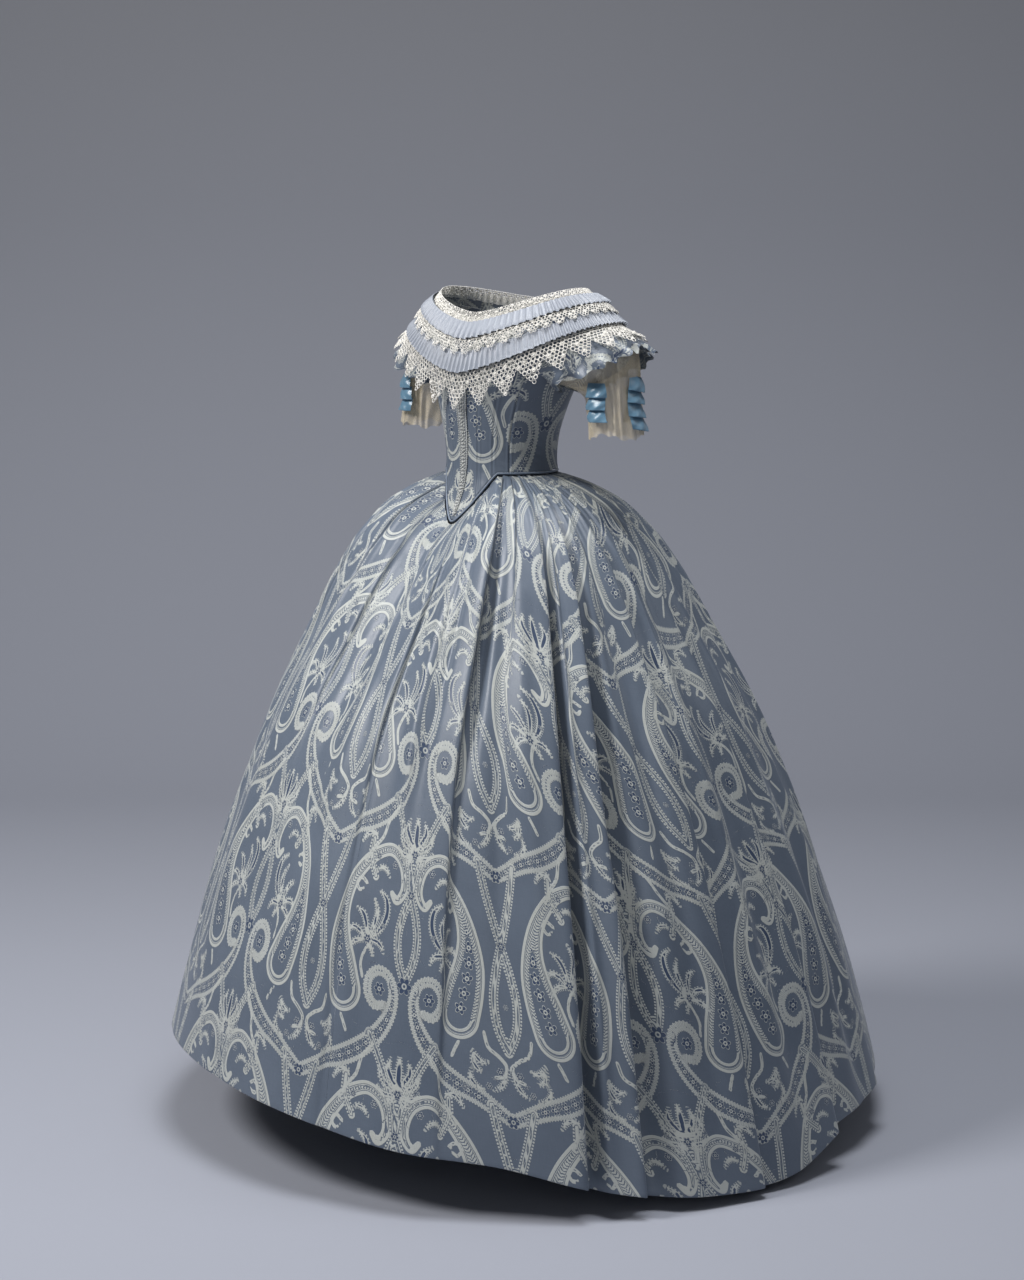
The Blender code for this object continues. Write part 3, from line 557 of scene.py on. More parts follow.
def brocadePattern():
    # Where the woven pattern's silver and dark blue threads lie.
    outputs = (("Silver", "NodeSocketFloat"), ("Blue", "NodeSocketFloat"))
    tree, n, _, end = groupOf("brocadePattern", (), outputs)
    offset, place, inside = n.parts("paisley")
    outer = n.band(inside, 0.2, 5.2)
    second = n.band(inside, 6.3, 7.4)
    slant = n.math("ADD", place, n.product(inside, 0.8))
    ladder = n.product(n.band(inside, 8.2, 13.0), n.step(n.wave(slant, 5.2), 0.18, 0.42))
    teeth = n.product(n.band(inside, 13.0, 15.6), n.step(n.wave(place, 4.2), 0.35, 0.65))
    petal, ring = n.chain(place, offset, 24.0, 11.0, 5)
    core = n.step(inside, 14.2, 15.6)
    silver = n.most(outer, second, ladder, teeth, n.product(core, ring))
    blue = n.product(core, petal)

    offset, place, inside = n.parts("garland")
    fringe = n.sum(inside, n.product(n.wave(place, 5.4), -1.8))
    bars = n.math("MULTIPLY_ADD", n.step(n.wave(place, 2.7), 0.2, 0.6), 0.35, 0.65)
    edge = n.product(n.band(fringe, -0.9, 6.3), bars)
    petal, ring = n.chain(place, offset, 19.0, 8.6, 6)
    core = n.step(inside, 7.0, 8.0)
    silver = n.most(silver, edge, n.product(core, ring))
    blue = n.most(blue, n.product(core, petal))

    offset, place, inside = n.parts("beading")
    away = n.math("SUBTRACT", 8.0, inside)
    beads = n.product(n.band(away, 4.9, 8.0), n.step(n.wave(place, 5.2), 0.22, 0.5))
    lines = n.most(n.band(away, 2.2, 3.9), n.step(away, 1.2, 0.6))
    over = n.step(inside, -0.6, 0.2)
    silver = n.math("MULTIPLY", silver, n.math("SUBTRACT", 1.0, n.product(over, 0.8)))
    blue = n.math("MULTIPLY", blue, n.math("SUBTRACT", 1.0, over))
    silver = n.most(silver, beads, lines)

    offset, place, inside = n.parts("tendril")
    silver = n.most(silver, n.band(inside, -0.5, 1.5, 0.3))
    silver = n.most(silver, n.product(n.step(inside, 2.0, 2.4), 0.5))

    offset, place, inside = n.parts("leaf")
    rim = n.band(inside, -0.7, 1.1, 0.3)
    frill = n.product(n.band(inside, -3.2, -0.7, 0.4), n.step(n.wave(place, 4.4), 0.4, 0.75))
    fill = n.step(inside, 0.9, 1.5)
    silver = n.most(silver, rim, n.product(frill, 0.8))
    blue = n.most(blue, fill)

    x, y, radius = n.parts("rosette")
    away = n.math("SQRT", n.sum(n.product(x, x), n.product(y, y)))
    turn = n.math("ARCTAN2", y, x)
    lobes = n.math("ABSOLUTE", n.math("COSINE", n.product(turn, 3.0)))
    edge = n.math("MULTIPLY", radius, n.math("MULTIPLY_ADD", lobes, 0.42, 0.58))
    left = n.math("SUBTRACT", edge, away)
    flower = n.step(left, -0.3, 0.5)
    outline = n.most(n.band(left, 0.4, 1.3, 0.3), n.band(n.math("DIVIDE", away, radius), 0.16, 0.32, 0.06))
    silver = n.math("MULTIPLY", silver, n.math("SUBTRACT", 1.0, flower))
    silver = n.most(silver, n.product(outline, 0.9))
    blue = n.most(blue, n.product(flower, n.math("SUBTRACT", 1.0, outline)))
    blue = n.product(blue, n.math("SUBTRACT", 1.0, silver))

    n.put(end.inputs["Silver"], silver)
    n.put(end.inputs["Blue"], blue)
    return tree


grainGroup = clothGrain()
patternGroup = brocadePattern()


def useGroup(n, tree, inputs=()):
    made = n.add("ShaderNodeGroup", node_tree=tree)
    for name, value in dict(inputs).items():
        n.put(made.inputs[name], value)
    return made.outputs


def bumped(n, height, distance, strength=1.0, below=None):
    inputs = {"Height": height, "Distance": distance, "Strength": strength}
    if below is not None:
        inputs["Normal"] = below
    return n.add("ShaderNodeBump", inputs).outputs["Normal"]


# Silk damask of the gown: satin ground, silver and dark blue figures
brocade = {
    "ground": (0.090, 0.114, 0.152, 1), "groundLight": (0.150, 0.182, 0.232, 1),
    "silver": (0.520, 0.545, 0.530, 1), "silverWarm": (0.450, 0.460, 0.415, 1),
    "blue": (0.036, 0.058, 0.112, 1), "rough": 0.36, "silverRough": 0.50,
}


def makeBrocade():
    made, n, shader = newMaterial("brocadeSilk")
    silver, blue = useGroup(n, patternGroup)[:2]
    height, tone = useGroup(n, grainGroup, {"Fineness": 1.0})[:2]
    flat = n.add("ShaderNodeUVMap", uv_map="cloth").outputs["UV"]
    broad = n.noise(flat, 7.0, 3.0)
    ground = n.mixed(n.math("MULTIPLY_ADD", broad, 0.9, n.product(n.math("SUBTRACT", tone, 0.5), 0.9)),
                     brocade["ground"], brocade["groundLight"])
    threads = n.mixed(n.noise(flat, 16.0, 2.0), brocade["silver"], brocade["silverWarm"])
    worked = n.math("MULTIPLY", silver, n.math("MULTIPLY_ADD", tone, 0.7, 0.62))
    colour = n.mixed(n.product(blue, 0.85), ground, brocade["blue"])
    colour = n.mixed(n.math("MINIMUM", worked, 1.0), colour, threads)
    n.put(shader.inputs["Base Color"], colour)
    rough = n.math("MULTIPLY_ADD", silver, brocade["silverRough"] - brocade["rough"], brocade["rough"])
    n.put(shader.inputs["Roughness"], n.math("ADD", rough, n.product(n.math("SUBTRACT", tone, 0.5), 0.12)))
    shader.inputs["Specular IOR Level"].default_value = 0.42
    shader.inputs["Sheen Weight"].default_value = 0.10
    shader.inputs["Sheen Roughness"].default_value = 0.4
    shader.inputs["Sheen Tint"].default_value = (0.80, 0.86, 1.0, 1.0)
    shader.inputs["Anisotropic"].default_value = 0.35
    raised = n.sum(n.product(silver, 1.0), n.product(blue, 0.5))
    coarse = bumped(n, raised, 0.0005, 0.7)
    n.put(shader.inputs["Normal"], bumped(n, height, 0.0001, 0.5, coarse))
    return made


def makeSatin(name, colour, light, rough, fineness=1.0):
    # Plain ribbon satin with fine cross ribs.
    made, n, shader = newMaterial(name)
    height, tone = useGroup(n, grainGroup, {"Fineness": fineness})[:2]
    flat = n.add("ShaderNodeUVMap", uv_map="cloth").outputs["UV"]
    broad = n.noise(flat, 60.0, 2.0)
    n.put(shader.inputs["Base Color"], n.mixed(n.sum(n.product(broad, 0.6), n.product(tone, 0.4)),
            colour, light))
    n.put(shader.inputs["Roughness"], n.math("MULTIPLY_ADD", tone, 0.14, rough - 0.07))
    shader.inputs["Specular IOR Level"].default_value = 0.6
    shader.inputs["Sheen Weight"].default_value = 0.2
    shader.inputs["Anisotropic"].default_value = 0.4
    n.put(shader.inputs["Normal"], bumped(n, height, 0.00012, 0.5))
    return made


def makeThread(name, colour, light):
    # Matt cotton thread of lace and braid.
    made, n, shader = newMaterial(name)
    here = n.add("ShaderNodeTexCoord").outputs["Object"]
    fibre = n.noise(here, 900.0, 3.0)
    broad = n.noise(here, 22.0, 2.0)
    n.put(shader.inputs["Base Color"], n.mixed(n.sum(n.product(fibre, 0.5), n.product(broad, 0.5)),
            colour, light))
    n.put(shader.inputs["Roughness"], n.math("MULTIPLY_ADD", fibre, 0.2, 0.62))
    shader.inputs["Sheen Weight"].default_value = 0.3
    shader.inputs["Subsurface Weight"].default_value = 0.08
    shader.inputs["Subsurface Radius"].default_value = (0.002, 0.002, 0.002)
    n.put(shader.inputs["Normal"], bumped(n, fibre, 0.0002, 0.6))
    return made


def makeNet(name, colour, cell, thread, cover):
    # Sheer net: threads on a diamond grid, clear between them.
    made, n, shader = newMaterial(name)
    flat = n.add("ShaderNodeUVMap", uv_map="cloth").outputs["UV"]
    split = n.add("ShaderNodeSeparateXYZ", {"Vector": flat}).outputs
    first = n.wave(n.math("ADD", split[0], split[1]), cell)
    second = n.wave(n.math("SUBTRACT", split[0], split[1]), cell)
    mesh = n.step(n.most(first, second), 1.0 - thread, 1.0 - thread * 0.4)
    cloud = n.noise(flat, 55.0, 3.0)
    n.put(shader.inputs["Base Color"], n.mixed(cloud, colour, tuple(min(1.0,
            c * 1.25) for c in colour[:3]) + (1,)))
    shader.inputs["Roughness"].default_value = 0.8
    n.put(shader.inputs["Alpha"], n.math("MINIMUM", n.math("MULTIPLY_ADD", mesh, 0.6,
            n.math("MULTIPLY_ADD", cloud, 0.3, cover)), 1.0))
    n.put(shader.inputs["Normal"], bumped(n, mesh, 0.0002, 0.5))
    return made


brocadeMaterial = makeBrocade()
ribbonMaterial = makeSatin("paleRibbon", (0.215, 0.238, 0.280, 1), (0.330, 0.355, 0.405, 1), 0.38, 1.4)
sleeveRibbonMaterial = makeSatin("blueRibbon", (0.080, 0.178, 0.270, 1), (0.160, 0.295, 0.405, 1),
        0.24, 1.2)
laceMaterial = makeThread("laceThread", (0.60, 0.575, 0.52, 1), (0.86, 0.84, 0.79, 1))
braidMaterial = makeThread("braidThread", (0.20, 0.22, 0.24, 1), (0.36, 0.375, 0.38, 1))
beadMaterial = makeThread("beadThread", (0.42, 0.43, 0.41, 1), (0.66, 0.67, 0.64, 1))
pipingMaterial = makeSatin("pipingSilk", (0.10, 0.13, 0.18, 1), (0.20, 0.25, 0.33, 1), 0.4, 1.6)
netMaterial = makeNet("silkNet", (0.64, 0.56, 0.42, 1), 0.0022, 0.30, 0.08)
tuckerMaterial = makeNet("tuckerNet", (0.84, 0.82, 0.76, 1), 0.0024, 0.34, 0.05)
say("materials made")


# Skirt
# Columns: drop below the waist, radius
skirtProfile = (
    (0.000, 0.098), (0.020, 0.146), (0.042, 0.186), (0.090, 0.238), (0.164, 0.290), (0.250, 0.335),
    (0.379, 0.403), (0.522, 0.462), (0.662, 0.515), (0.813, 0.563), (0.968, 0.604), (1.120, 0.640),
)
# Columns: angle, drop of the hem below the waist
hemLine = (
    (-180.0, 1.045), (-135.0, 1.020), (-90.0, 0.980), (-45.0, 0.954), (-12.0, 0.963), (10.0, 0.985),
    (27.0, 1.010), (42.0, 1.025), (57.0, 1.066), (72.0, 1.090), (90.0, 1.088), (101.0, 1.052),
    (112.0, 1.040), (135.0, 1.032), (180.0, 1.045),
)
# Columns: angle at the waist and hem, half step of the lap at the waist, upper, middle and low
# stations, how far the lap's lip leans over its hollow as a part of the step
skirtFolds = (
    (-84.0, -85.0, 0.0020, 0.007, 0.006, 0.005, 0.7),
    (-62.0, -60.0, 0.0020, 0.005, 0.003, 0.002, 0.5),
    (-40.0, -36.0, 0.0020, 0.005, 0.003, 0.001, 0.5),
    (-17.0, -12.0, 0.0020, 0.006, 0.003, 0.002, 0.5),
    (17.0, 13.0, 0.0020, 0.007, 0.006, 0.003, 0.8),
    (43.0, 33.0, 0.0022, 0.014, 0.011, 0.002, 1.0),
    (58.0, 54.0, 0.0020, 0.014, 0.020, 0.022, 1.15),
    (68.0, 62.0, 0.0020, 0.013, 0.018, 0.020, 1.15),
    (82.0, 82.0, 0.0020, 0.006, 0.007, 0.013, 0.8),
    (100.0, 100.0, 0.0020, 0.006, 0.008, 0.017, 0.8),
    (120.0, 121.0, 0.0020, 0.006, 0.005, 0.007, 0.6),
    (141.0, 142.0, 0.0020, 0.008, 0.010, 0.010, 0.8),
    (161.0, 162.0, 0.0020, 0.006, 0.005, 0.006, 0.6),
    (181.0, 183.0, 0.0022, 0.008, 0.009, 0.009, 0.8),
    (205.0, 206.0, 0.0020, 0.006, 0.005, 0.005, 0.6),
    (229.0, 229.0, 0.0020, 0.007, 0.009, 0.009, 0.8),
    (252.0, 252.0, 0.0020, 0.005, 0.004, 0.004, 0.5),
)
foldStations = (0.0, 0.16, 0.45, 1.0)
skirt = {
    "columnsPerFold": 60, "rows": 256, "seamDrop": 0.0070, "centreBack": 0.029, "frontFlatness": 0.05,
    "foldReach": 0.24, "foldEdge": 0.045, "smallPleat": 0.0016, "smallPleatLength": 0.14,
    "seams": (0, 2, 4, 6, 9, 11, 13, 15), "wall": 0.0016, "creaseDepth": 1.35,
    "patternTurn": 9.0, "patternRise": 0.185,
}
# Soft creases of the cloth. Columns: fold place at the top and the bottom, top and bottom down the
# skirt, half width in folds, height
softCreases = (
    (6.20, 6.20, 0.12, 1.14, 0.17, -0.0230), (7.14, 7.14, 0.16, 1.14, 0.14, -0.0220),
    (5.12, 5.12, 0.02, 0.46, 0.08, -0.0110), (4.35, 4.50, 0.04, 0.62, 0.09, 0.0050), (4.70, 4.62,
            0.02, 0.48, 0.06, -0.0045),
    (5.35, 5.48, 0.05, 0.80, 0.10, -0.0050), (5.62, 5.80, 0.10, 0.95, 0.10, 0.0045),
    (6.40, 6.45, 0.10, 1.00, 0.14, 0.0060), (7.35, 7.30, 0.03, 0.55, 0.08, 0.0055),
    (7.60, 7.70, 0.20, 1.00, 0.10, -0.0065), (8.30, 8.42, 0.05, 0.90, 0.09, 0.0060),
    (8.65, 8.60, 0.30, 1.02, 0.12, -0.0080), (9.35, 9.45, 0.10, 1.00, 0.11, 0.0070),
    (9.75, 9.62, 0.40, 1.05, 0.12, -0.0080), (10.40, 10.35, 0.05, 0.75, 0.10, 0.0050),
    (11.45, 11.55, 0.10, 1.00, 0.12, 0.0060), (12.40, 12.30, 0.05, 0.70, 0.09, -0.0050),
    (13.55, 13.50, 0.08, 0.95, 0.12, 0.0060), (14.40, 14.55, 0.05, 0.85, 0.10, -0.0050),
    (15.50, 15.45, 0.10, 1.00, 0.11, 0.0055), (16.40, 16.55, 0.05, 0.70, 0.09, -0.0045),
    (0.45, 0.40, 0.06, 0.80, 0.10, 0.0050), (1.50, 1.60, 0.04, 0.60, 0.10, -0.0040),
    (2.45, 2.55, 0.08, 0.90, 0.12, 0.0045), (3.35, 3.30, 0.03, 0.50, 0.08, -0.0040),
    (3.65, 3.75, 0.10, 0.85, 0.10, 0.0050), (4.05, 4.18, 0.30, 0.98, 0.10, 0.0040),
)


def skirtBase(angle, place):
    top = -belowEdge(angle, skirt["seamDrop"])
    waist = bodiceRing(angle, -top)
    drop = top + (curveAt(wrapped(angle), hemLine)[..., 0] - top) * place
    reading = np.maximum(0.0, drop - top * np.exp(-(drop - top) / 0.25))
    radius = curveAt(reading, skirtProfile)[..., 0]
    turn = np.radians(wrapped(angle))
    flat = np.where(np.abs(wrapped(angle)) < 45, np.cos(2 * turn) ** 2, 0.0)
    radius = radius - skirt["frontFlatness"] * flat * (reading / 0.1) * np.exp(1 - reading / 0.1)
    sine = np.sin(turn)
    cosine = np.cos(turn)
    near = np.exp(-reading / 0.1)
    topRadius = skirtProfile[0][1]
    centre = skirt["centreBack"] * drop
    x = radius * sine + (waist[..., 0] - topRadius * sine) * near
    y = centre - radius * cosine + (waist[..., 1] + topRadius * cosine - skirt["centreBack"] * top) * near
    return np.stack([x, y, -drop], axis=-1)


def foldAngle(fold, place):
    count = len(skirtFolds)
    whole = np.floor(fold).astype(int)
    part = fold - whole
    ends = []
    for index in (0, 1):
        angles = np.array([row[index] for row in skirtFolds])
        low = angles[whole % count] + 360.0 * (whole // count)
        high = angles[(whole + 1) % count] + 360.0 * ((whole + 1) // count)
        ends.append(low * (1 - part) + high * part)
    drift = np.minimum(1.0, place / 0.5)
    return ends[0] + (ends[1] - ends[0]) * drift * (2 - drift)


def foldShape(fold, place):
    # How far the laps lift the cloth, and how far they lean it towards her left.
    count = len(skirtFolds)
    nearest = np.floor(fold).astype(int)
    height = np.zeros(np.broadcast(fold, place).shape)
    lean = np.zeros_like(height)
    steps = []
    for row in skirtFolds:
        steps.append(curveAt(place[:, 0], np.column_stack([foldStations, row[2:6]]))[:, 0])
    steps = np.array(steps)
    leans = np.array([row[6] for row in skirtFolds])
    for shift in range(-1, 3):
        index = (nearest + shift) % count
        step = steps[index[0]].T
        away = fold - (nearest + shift)
        bend = -step * np.tanh(away / skirt["foldEdge"])
        height += bend * np.exp(-np.abs(away) / skirt["foldReach"])
        lean += bend * leans[index[0]][None, :] * np.exp(-np.abs(away) / 0.10)
    away = fold - nearest - 0.5
    small = skirt["smallPleat"] * (1 + 3 * np.minimum(1.0,
            place / 0.06)) * np.exp(-place / skirt["smallPleatLength"])
    bend = -small * np.tanh(away / skirt["foldEdge"])
    height += bend * np.exp(-np.abs(away) / (skirt["foldReach"] / 2))
    lean += bend * 0.7 * np.exp(-np.abs(away) / 0.08)
    return height, lean


def creaseShape(fold, place):
    # Soft troughs and ridges between the laps, and the small gathers under the waist seam.
    count = len(skirtFolds)
    total = np.zeros(np.broadcast(fold, place).shape)
    for start, end, top, bottom, wide, height in softCreases:
        centre = start + (end - start) * np.clip((place - top) / (bottom - top), 0, 1)
        away = (fold - centre + count / 2) % count - count / 2
        length = smooth(place, top - 0.02, top + 0.22) * (1 - smooth(place, bottom - 0.25, bottom + 0.05))
        total += skirt["creaseDepth"] * height * np.exp(-((away / wide) ** 2)) * length
    gathers = np.sin(fold * 2 * np.pi * 4 + 1.3 * np.sin(fold * 2.1))
    gathers = gathers + 0.6 * np.sin(fold * 2 * np.pi * 7 + 0.7)
    total += 0.0011 * gathers * smooth(place, 0.0, 0.02) * np.exp(-place / 0.09)
    ripple = np.sin(fold * 3.7 + place * 9.0) * np.sin(fold * 1.3 - place * 5.0 + 0.6)
    total += 0.0030 * ripple * smooth(place, 0.1, 0.4)
    return total


def patternAcross(fold, points, place):
    # Where each point lies across the woven pattern, with the cloth that the laps hide left out.
    count = len(skirtFolds)
    arc = lengthsAlong(points, 1)
    steps = np.array([curveAt(place[:, 0], np.column_stack([foldStations, row[2:6]]))[:,
            0] for row in skirtFolds])
    hidden = 3.2 * steps + 0.5 * steps * np.exp(-place[:, 0] / 0.05)[None, :]
    hidden[6:8] *= 1.25
    visible = arc[:, -1]
    full = visible[-1] + hidden[:, -1].sum()
    stretch = (full - hidden.sum(axis=0)) / visible
    more = np.maximum(0.0, stretch - 1.22) * visible
    hidden = hidden + (hidden / hidden.sum(axis=0)) * more * 0.5
    hiddenSmall = np.broadcast_to(more * 0.5 / count, hidden.shape)
    stretch = np.minimum(stretch, 1.22)
    across = arc * stretch[:, None]
    whole = np.floor(fold[0]).astype(int)
    for number in range(whole.min(), whole.max() + 2):
        index = number % count
        jump = smooth(fold[0], number - 0.055, number + 0.055)
        across += hidden[index][:, None] * jump[None, :]
        jump = smooth(fold[0], number + 0.46, number + 0.54)
        across += hiddenSmall[index][:, None] * jump[None, :]
    turn = foldAngle(fold, place)
    reference = np.argmin(np.abs(turn[-1] - skirt["patternTurn"]))
    return across - across[:, reference][:, None]


def buildSkirt():
    count = len(skirtFolds)
    per = skirt["columnsPerFold"]
    t = np.arange(per) / per
    t = t - 0.42 * np.sin(2 * np.pi * t) / (2 * np.pi)
    folds = (np.arange(count)[:, None] + t[None, :]).ravel()
    first = int(np.argmin(np.abs(t - 0.075)))
    folds = np.concatenate([folds[first:], folds[: first + 1] + count])[None, :]
    place = np.linspace(0.0, 1.0, skirt["rows"])[:, None]
    place = place * (0.75 + 0.25 * place)
    angle = foldAngle(folds, place)
    low = np.maximum(place, 0.004)
    base = skirtBase(angle, low + 0 * angle)
    normal = gridNormals(base)
    across = np.gradient(base, axis=1)
    across /= np.linalg.norm(across, axis=2, keepdims=True)
    height, lean = foldShape(folds, place)
    height += creaseShape(folds, place)
    points = base + normal * height[..., None] - across * (-lean)[..., None]
    points[:1] += skirtBase(angle[:1], place[:1] + 0 * angle[:1]) - base[:1]
    # the hem turns under its facing
    down = np.gradient(points, axis=0)[-1]
    down /= np.linalg.norm(down, axis=1, keepdims=True)
    inward = -normal[-1]
    wall = skirt["wall"]
    turned = [points[-1] + down * wall * 0.5 + inward * wall * 0.15,
              points[-1] + down * wall * 0.8 + inward * wall * 0.5,
              points[-1] + down * wall * 0.5 + inward * wall * 0.95]
    for rise in (1, 3, 6, 9, 11):
        turned.append(points[-1 - rise] + inward * wall)
    v = lengthsAlong(points, 0)
    u = patternAcross(folds, points, place)
    v = v[-1][None, :] - v + (0.37 * 3 - skirt["patternRise"])
    points = np.concatenate([points, np.array(turned)])
    u = np.concatenate([u, np.repeat(u[-1:], len(turned), axis=0)])
    v = np.concatenate([v, v[-1:] - np.array([0.001, 0.002, 0.003, 0.008, 0.016, 0.028, 0.04,
            0.048])[:, None]])
    seams = [int(round(number * per)) for number in skirt["seams"]] + [count * per]
    for number, (start, end) in enumerate(zip(seams, seams[1:]), 1):
        part = points[:, start:end + 1].copy()
        for side, beside in ((0, 1), (-1, -2)):
            toward = part[:, beside] - part[:, side]
            part[:, side] += toward / np.linalg.norm(toward, axis=1, keepdims=True) * 0.00015
        piece = gridMesh(f"skirtWidth{number}", part, brocadeMaterial)
        givePattern(piece, u[:, start:end + 1], v[:, start:end + 1])
        finishPiece(piece, [f"skirt_{number}"])
    say("skirt made")


buildSkirt()


# Bodice
bodice = {"acrossOffset": 0.045, "upOffset": -0.013, "columns": 48, "rows": 84}


def bodiceRelief(angle, height, seams):
    # Boned seams stand up a little, and the silk strains in small creases between them.
    relief = np.zeros(np.broadcast(angle, height).shape)
    for seam in seams:
        away = (angle - seam) * 0.0018
        relief += 0.0010 * np.exp(-((np.abs(away) - 0.0035) / 0.0016) ** 2)
        relief -= 0.0009 * np.exp(-((away / 0.0011) ** 2))
    strain = np.sin(height * 420 + angle * 0.22) * np.exp(-((height - 0.035) / 0.04) ** 2)
    relief += 0.00045 * strain * (0.5 + 0.5 * np.sin(angle * 0.31 + 1.0))
    return relief


def panelGrid(angles, topIsArm, rows):
    grid = []
    for angle in angles:
        top = panelPlace(angle, underarmHeight(angle)) if topIsArm else 8.0
        grid.append(panelColumn(angle, np.linspace(top, 0.0, rows)))
    return np.moveaxis(np.array(grid), 0, 1)


def buildBodice():
    panels = (
        ("Front", 0.0, 50.0, False, (17.0, 33.0)), ("Side", 50.0, 130.0, True, (90.0,)),
        ("Back", 130.0, 180.0, False, (156.0,)),
    )
    for name, low, high, arm, seams in panels:
        angles = np.linspace(low, high, bodice["columns"])
        grid = panelGrid(angles, arm, bodice["rows"])
        normal = gridNormals(grid)
        wide = angles[None, :] + 0 * grid[..., 2]
        edges = (low, high) if name != "Front" else (high,)
        relief = bodiceRelief(wide, grid[..., 2], seams + edges)
        under = grid[..., 2] > 0.165
        shaped = grid + normal * np.where(under, np.minimum(relief, 0.0), relief)[..., None]
        middle = bodiceRing(wide, grid[..., 2] * 0 + 0.03)
        across = lengthsAlong(middle, 1) + {"Front": 0.0, "Side": 0.098, "Back": 0.245}[name]
        up = grid[..., 2] + bodice["upOffset"] + 0.37
        for side in ("Left", "Right"):
            shown = shaped if side == "Left" else shaped[:, ::-1] * np.array((-1.0, 1.0, 1.0))
            u = across + bodice["acrossOffset"] if side == "Left" else -(across[:,
                    ::-1] + bodice["acrossOffset"])
            v = up if side == "Left" else up[:, ::-1]
            for column, beside in ((0, 1), (-1, -2)):
                toward = shown[:, beside] - shown[:, column]
                shown[:, column] += toward / np.linalg.norm(toward, axis=1, keepdims=True) * 0.00015
            piece = gridMesh(f"bodice{name}{side}", shown, brocadeMaterial)
            givePattern(piece, u, v)
            finishPiece(piece, [f"bodice_{name.lower()}_{side.lower()}"])
    say("bodice made")


buildBodice()


def buildPiping():
    # Covered cord round the waist seam, with its slanting bias ribs.
    piping = {"radius": 0.0019, "sides": 12, "columns": 480, "drop": 0.0026}
    angles = np.arange(piping["columns"]) * 360.0 / piping["columns"]
    heights = belowEdge(angles, piping["drop"])
    centre = bodiceRing(angles, heights)
    ahead = np.roll(centre, -1, axis=0) - np.roll(centre, 1, axis=0)
    ahead /= np.linalg.norm(ahead, axis=1, keepdims=True)
    out = centre * (1.0, 1.0, 0.0)
    out -= ahead * (out * ahead).sum(axis=1, keepdims=True)
    out /= np.linalg.norm(out, axis=1, keepdims=True)
    up = np.cross(out, ahead)
    turn = np.linspace(0, -2 * np.pi, piping["sides"], endpoint=False)[:, None, None]
    tube = centre[None] + (out[None] * np.cos(turn) + up[None] * np.sin(turn)) * piping["radius"]
    tube = np.concatenate([tube, tube[:1]])
    piece = gridMesh("waistPiping", tube, pipingMaterial, closed=True)
    weld = bmesh.new()
    weld.from_mesh(piece.data)
    bmesh.ops.remove_doubles(weld, verts=weld.verts, dist=1e-6)
    bmesh.ops.recalc_face_normals(weld, faces=weld.faces)
    weld.to_mesh(piece.data)
    weld.free()
    points = np.array([tuple(vertex.co) for vertex in piece.data.vertices])
    run = np.arctan2(points[:, 0], -points[:, 1]) * 0.1
    giveUv(piece, run + points[:, 2], points[:, 2] - run)
    finishPiece(piece, ["waist_piping"])


buildPiping()


def mirrored(grid, side):
    # Her right side is the left one turned over, its columns in the other order
    return grid if side == "Left" else grid[:, ::-1] * np.array((-1.0, 1.0, 1.0))


def buildStraps():
    # Straps of the silk that carry the bertha over the shoulders
    angles = np.linspace(50.0, 130.0, 40)[None, :]
    depths = np.linspace(0.0, 0.034, 12)[:, None]
    plain = berthaLayer(angles, depths, 0.0)
    for side in ("Left", "Right"):
        shown = mirrored(plain, side)
        piece = gridMesh(f"shoulderStrap{side}", shown, brocadeMaterial)
        across, down = lengthsAlong(shown, 1), lengthsAlong(shown, 0)
        givePattern(piece, across, 0.3 - down)
        finishPiece(piece, [f"shoulder_strap_{side.lower()}"])


buildStraps()


# Bertha: frills, laces and tucker round the neckline
def frillGrid(frill):
    # A ring of pleated ribbon: rows down, columns round, each wave standing out more at the bottom.
    count = frill["waves"] * frill["perWave"]
    angle = (np.arange(count) * 360.0 / count)[None, :]
    part = np.linspace(0.0, 1.0, frill["rows"])[:, None]
    drift = 0.35 * np.sin(np.radians(angle * 5 + 20)) + 0.25 * np.sin(np.radians(angle * 13))
    turn = np.radians(angle) * frill["waves"] + drift
    fold = np.cos(turn) + frill["sharp"] * np.cos(2 * turn + 0.6)
    uneven = 1.0 + 0.25 * np.sin(np.radians(angle * 7 + 40))
    swing = (frill["swing"][0] + (frill["swing"][1] - frill["swing"][0]) * part) * uneven
    height = frill["height"][0] + (frill["height"][1] - frill["height"][0]) * part
    height = height + swing * (1 + fold * 0.8) + frill["edge"] * smooth(part, 0.86, 1.0)
    depth = frill["depth"][0] + (frill["depth"][1] - frill["depth"][0]) * part
    depth = depth + 0.0008 * np.sin(turn * 0.5) * part
    lean = angle + frill["lean"] * np.sin(turn) * 180.0 / np.pi * part
    return berthaLayer(lean, depth, height)


# Each frill's waves round the neck, then depth, height and half swing at its top and its bottom
frills = (
    {"name": "upperFrill", "node": "ruffle_upper", "waves": 92, "perWave": 12, "rows": 14, "sharp": 0.35,
     "depth": (-0.001, 0.0285), "height": (0.0012, 0.0044), "swing": (0.0011, 0.0026),
     "edge": -0.0006, "lean": 0.0035},
    {"name": "lowerFrill", "node": "ruffle_lower", "waves": 132, "perWave": 10, "rows": 16, "sharp": 0.25,
     "depth": (0.050, 0.0875), "height": (0.0014, 0.0052), "swing": (0.0012, 0.0031),
     "edge": 0.0004, "lean": 0.0030},
)


def buildFrills():
    for frill in frills:
        points = frillGrid(frill)
        piece = gridMesh(frill["name"], points, ribbonMaterial, closed=True)
        across = lengthsAlong(points, 1)
        up = -lengthsAlong(points, 0)
        giveUv(piece, up, across)
        finishPiece(piece, [frill["node"]])
    say("frills made")


buildFrills()


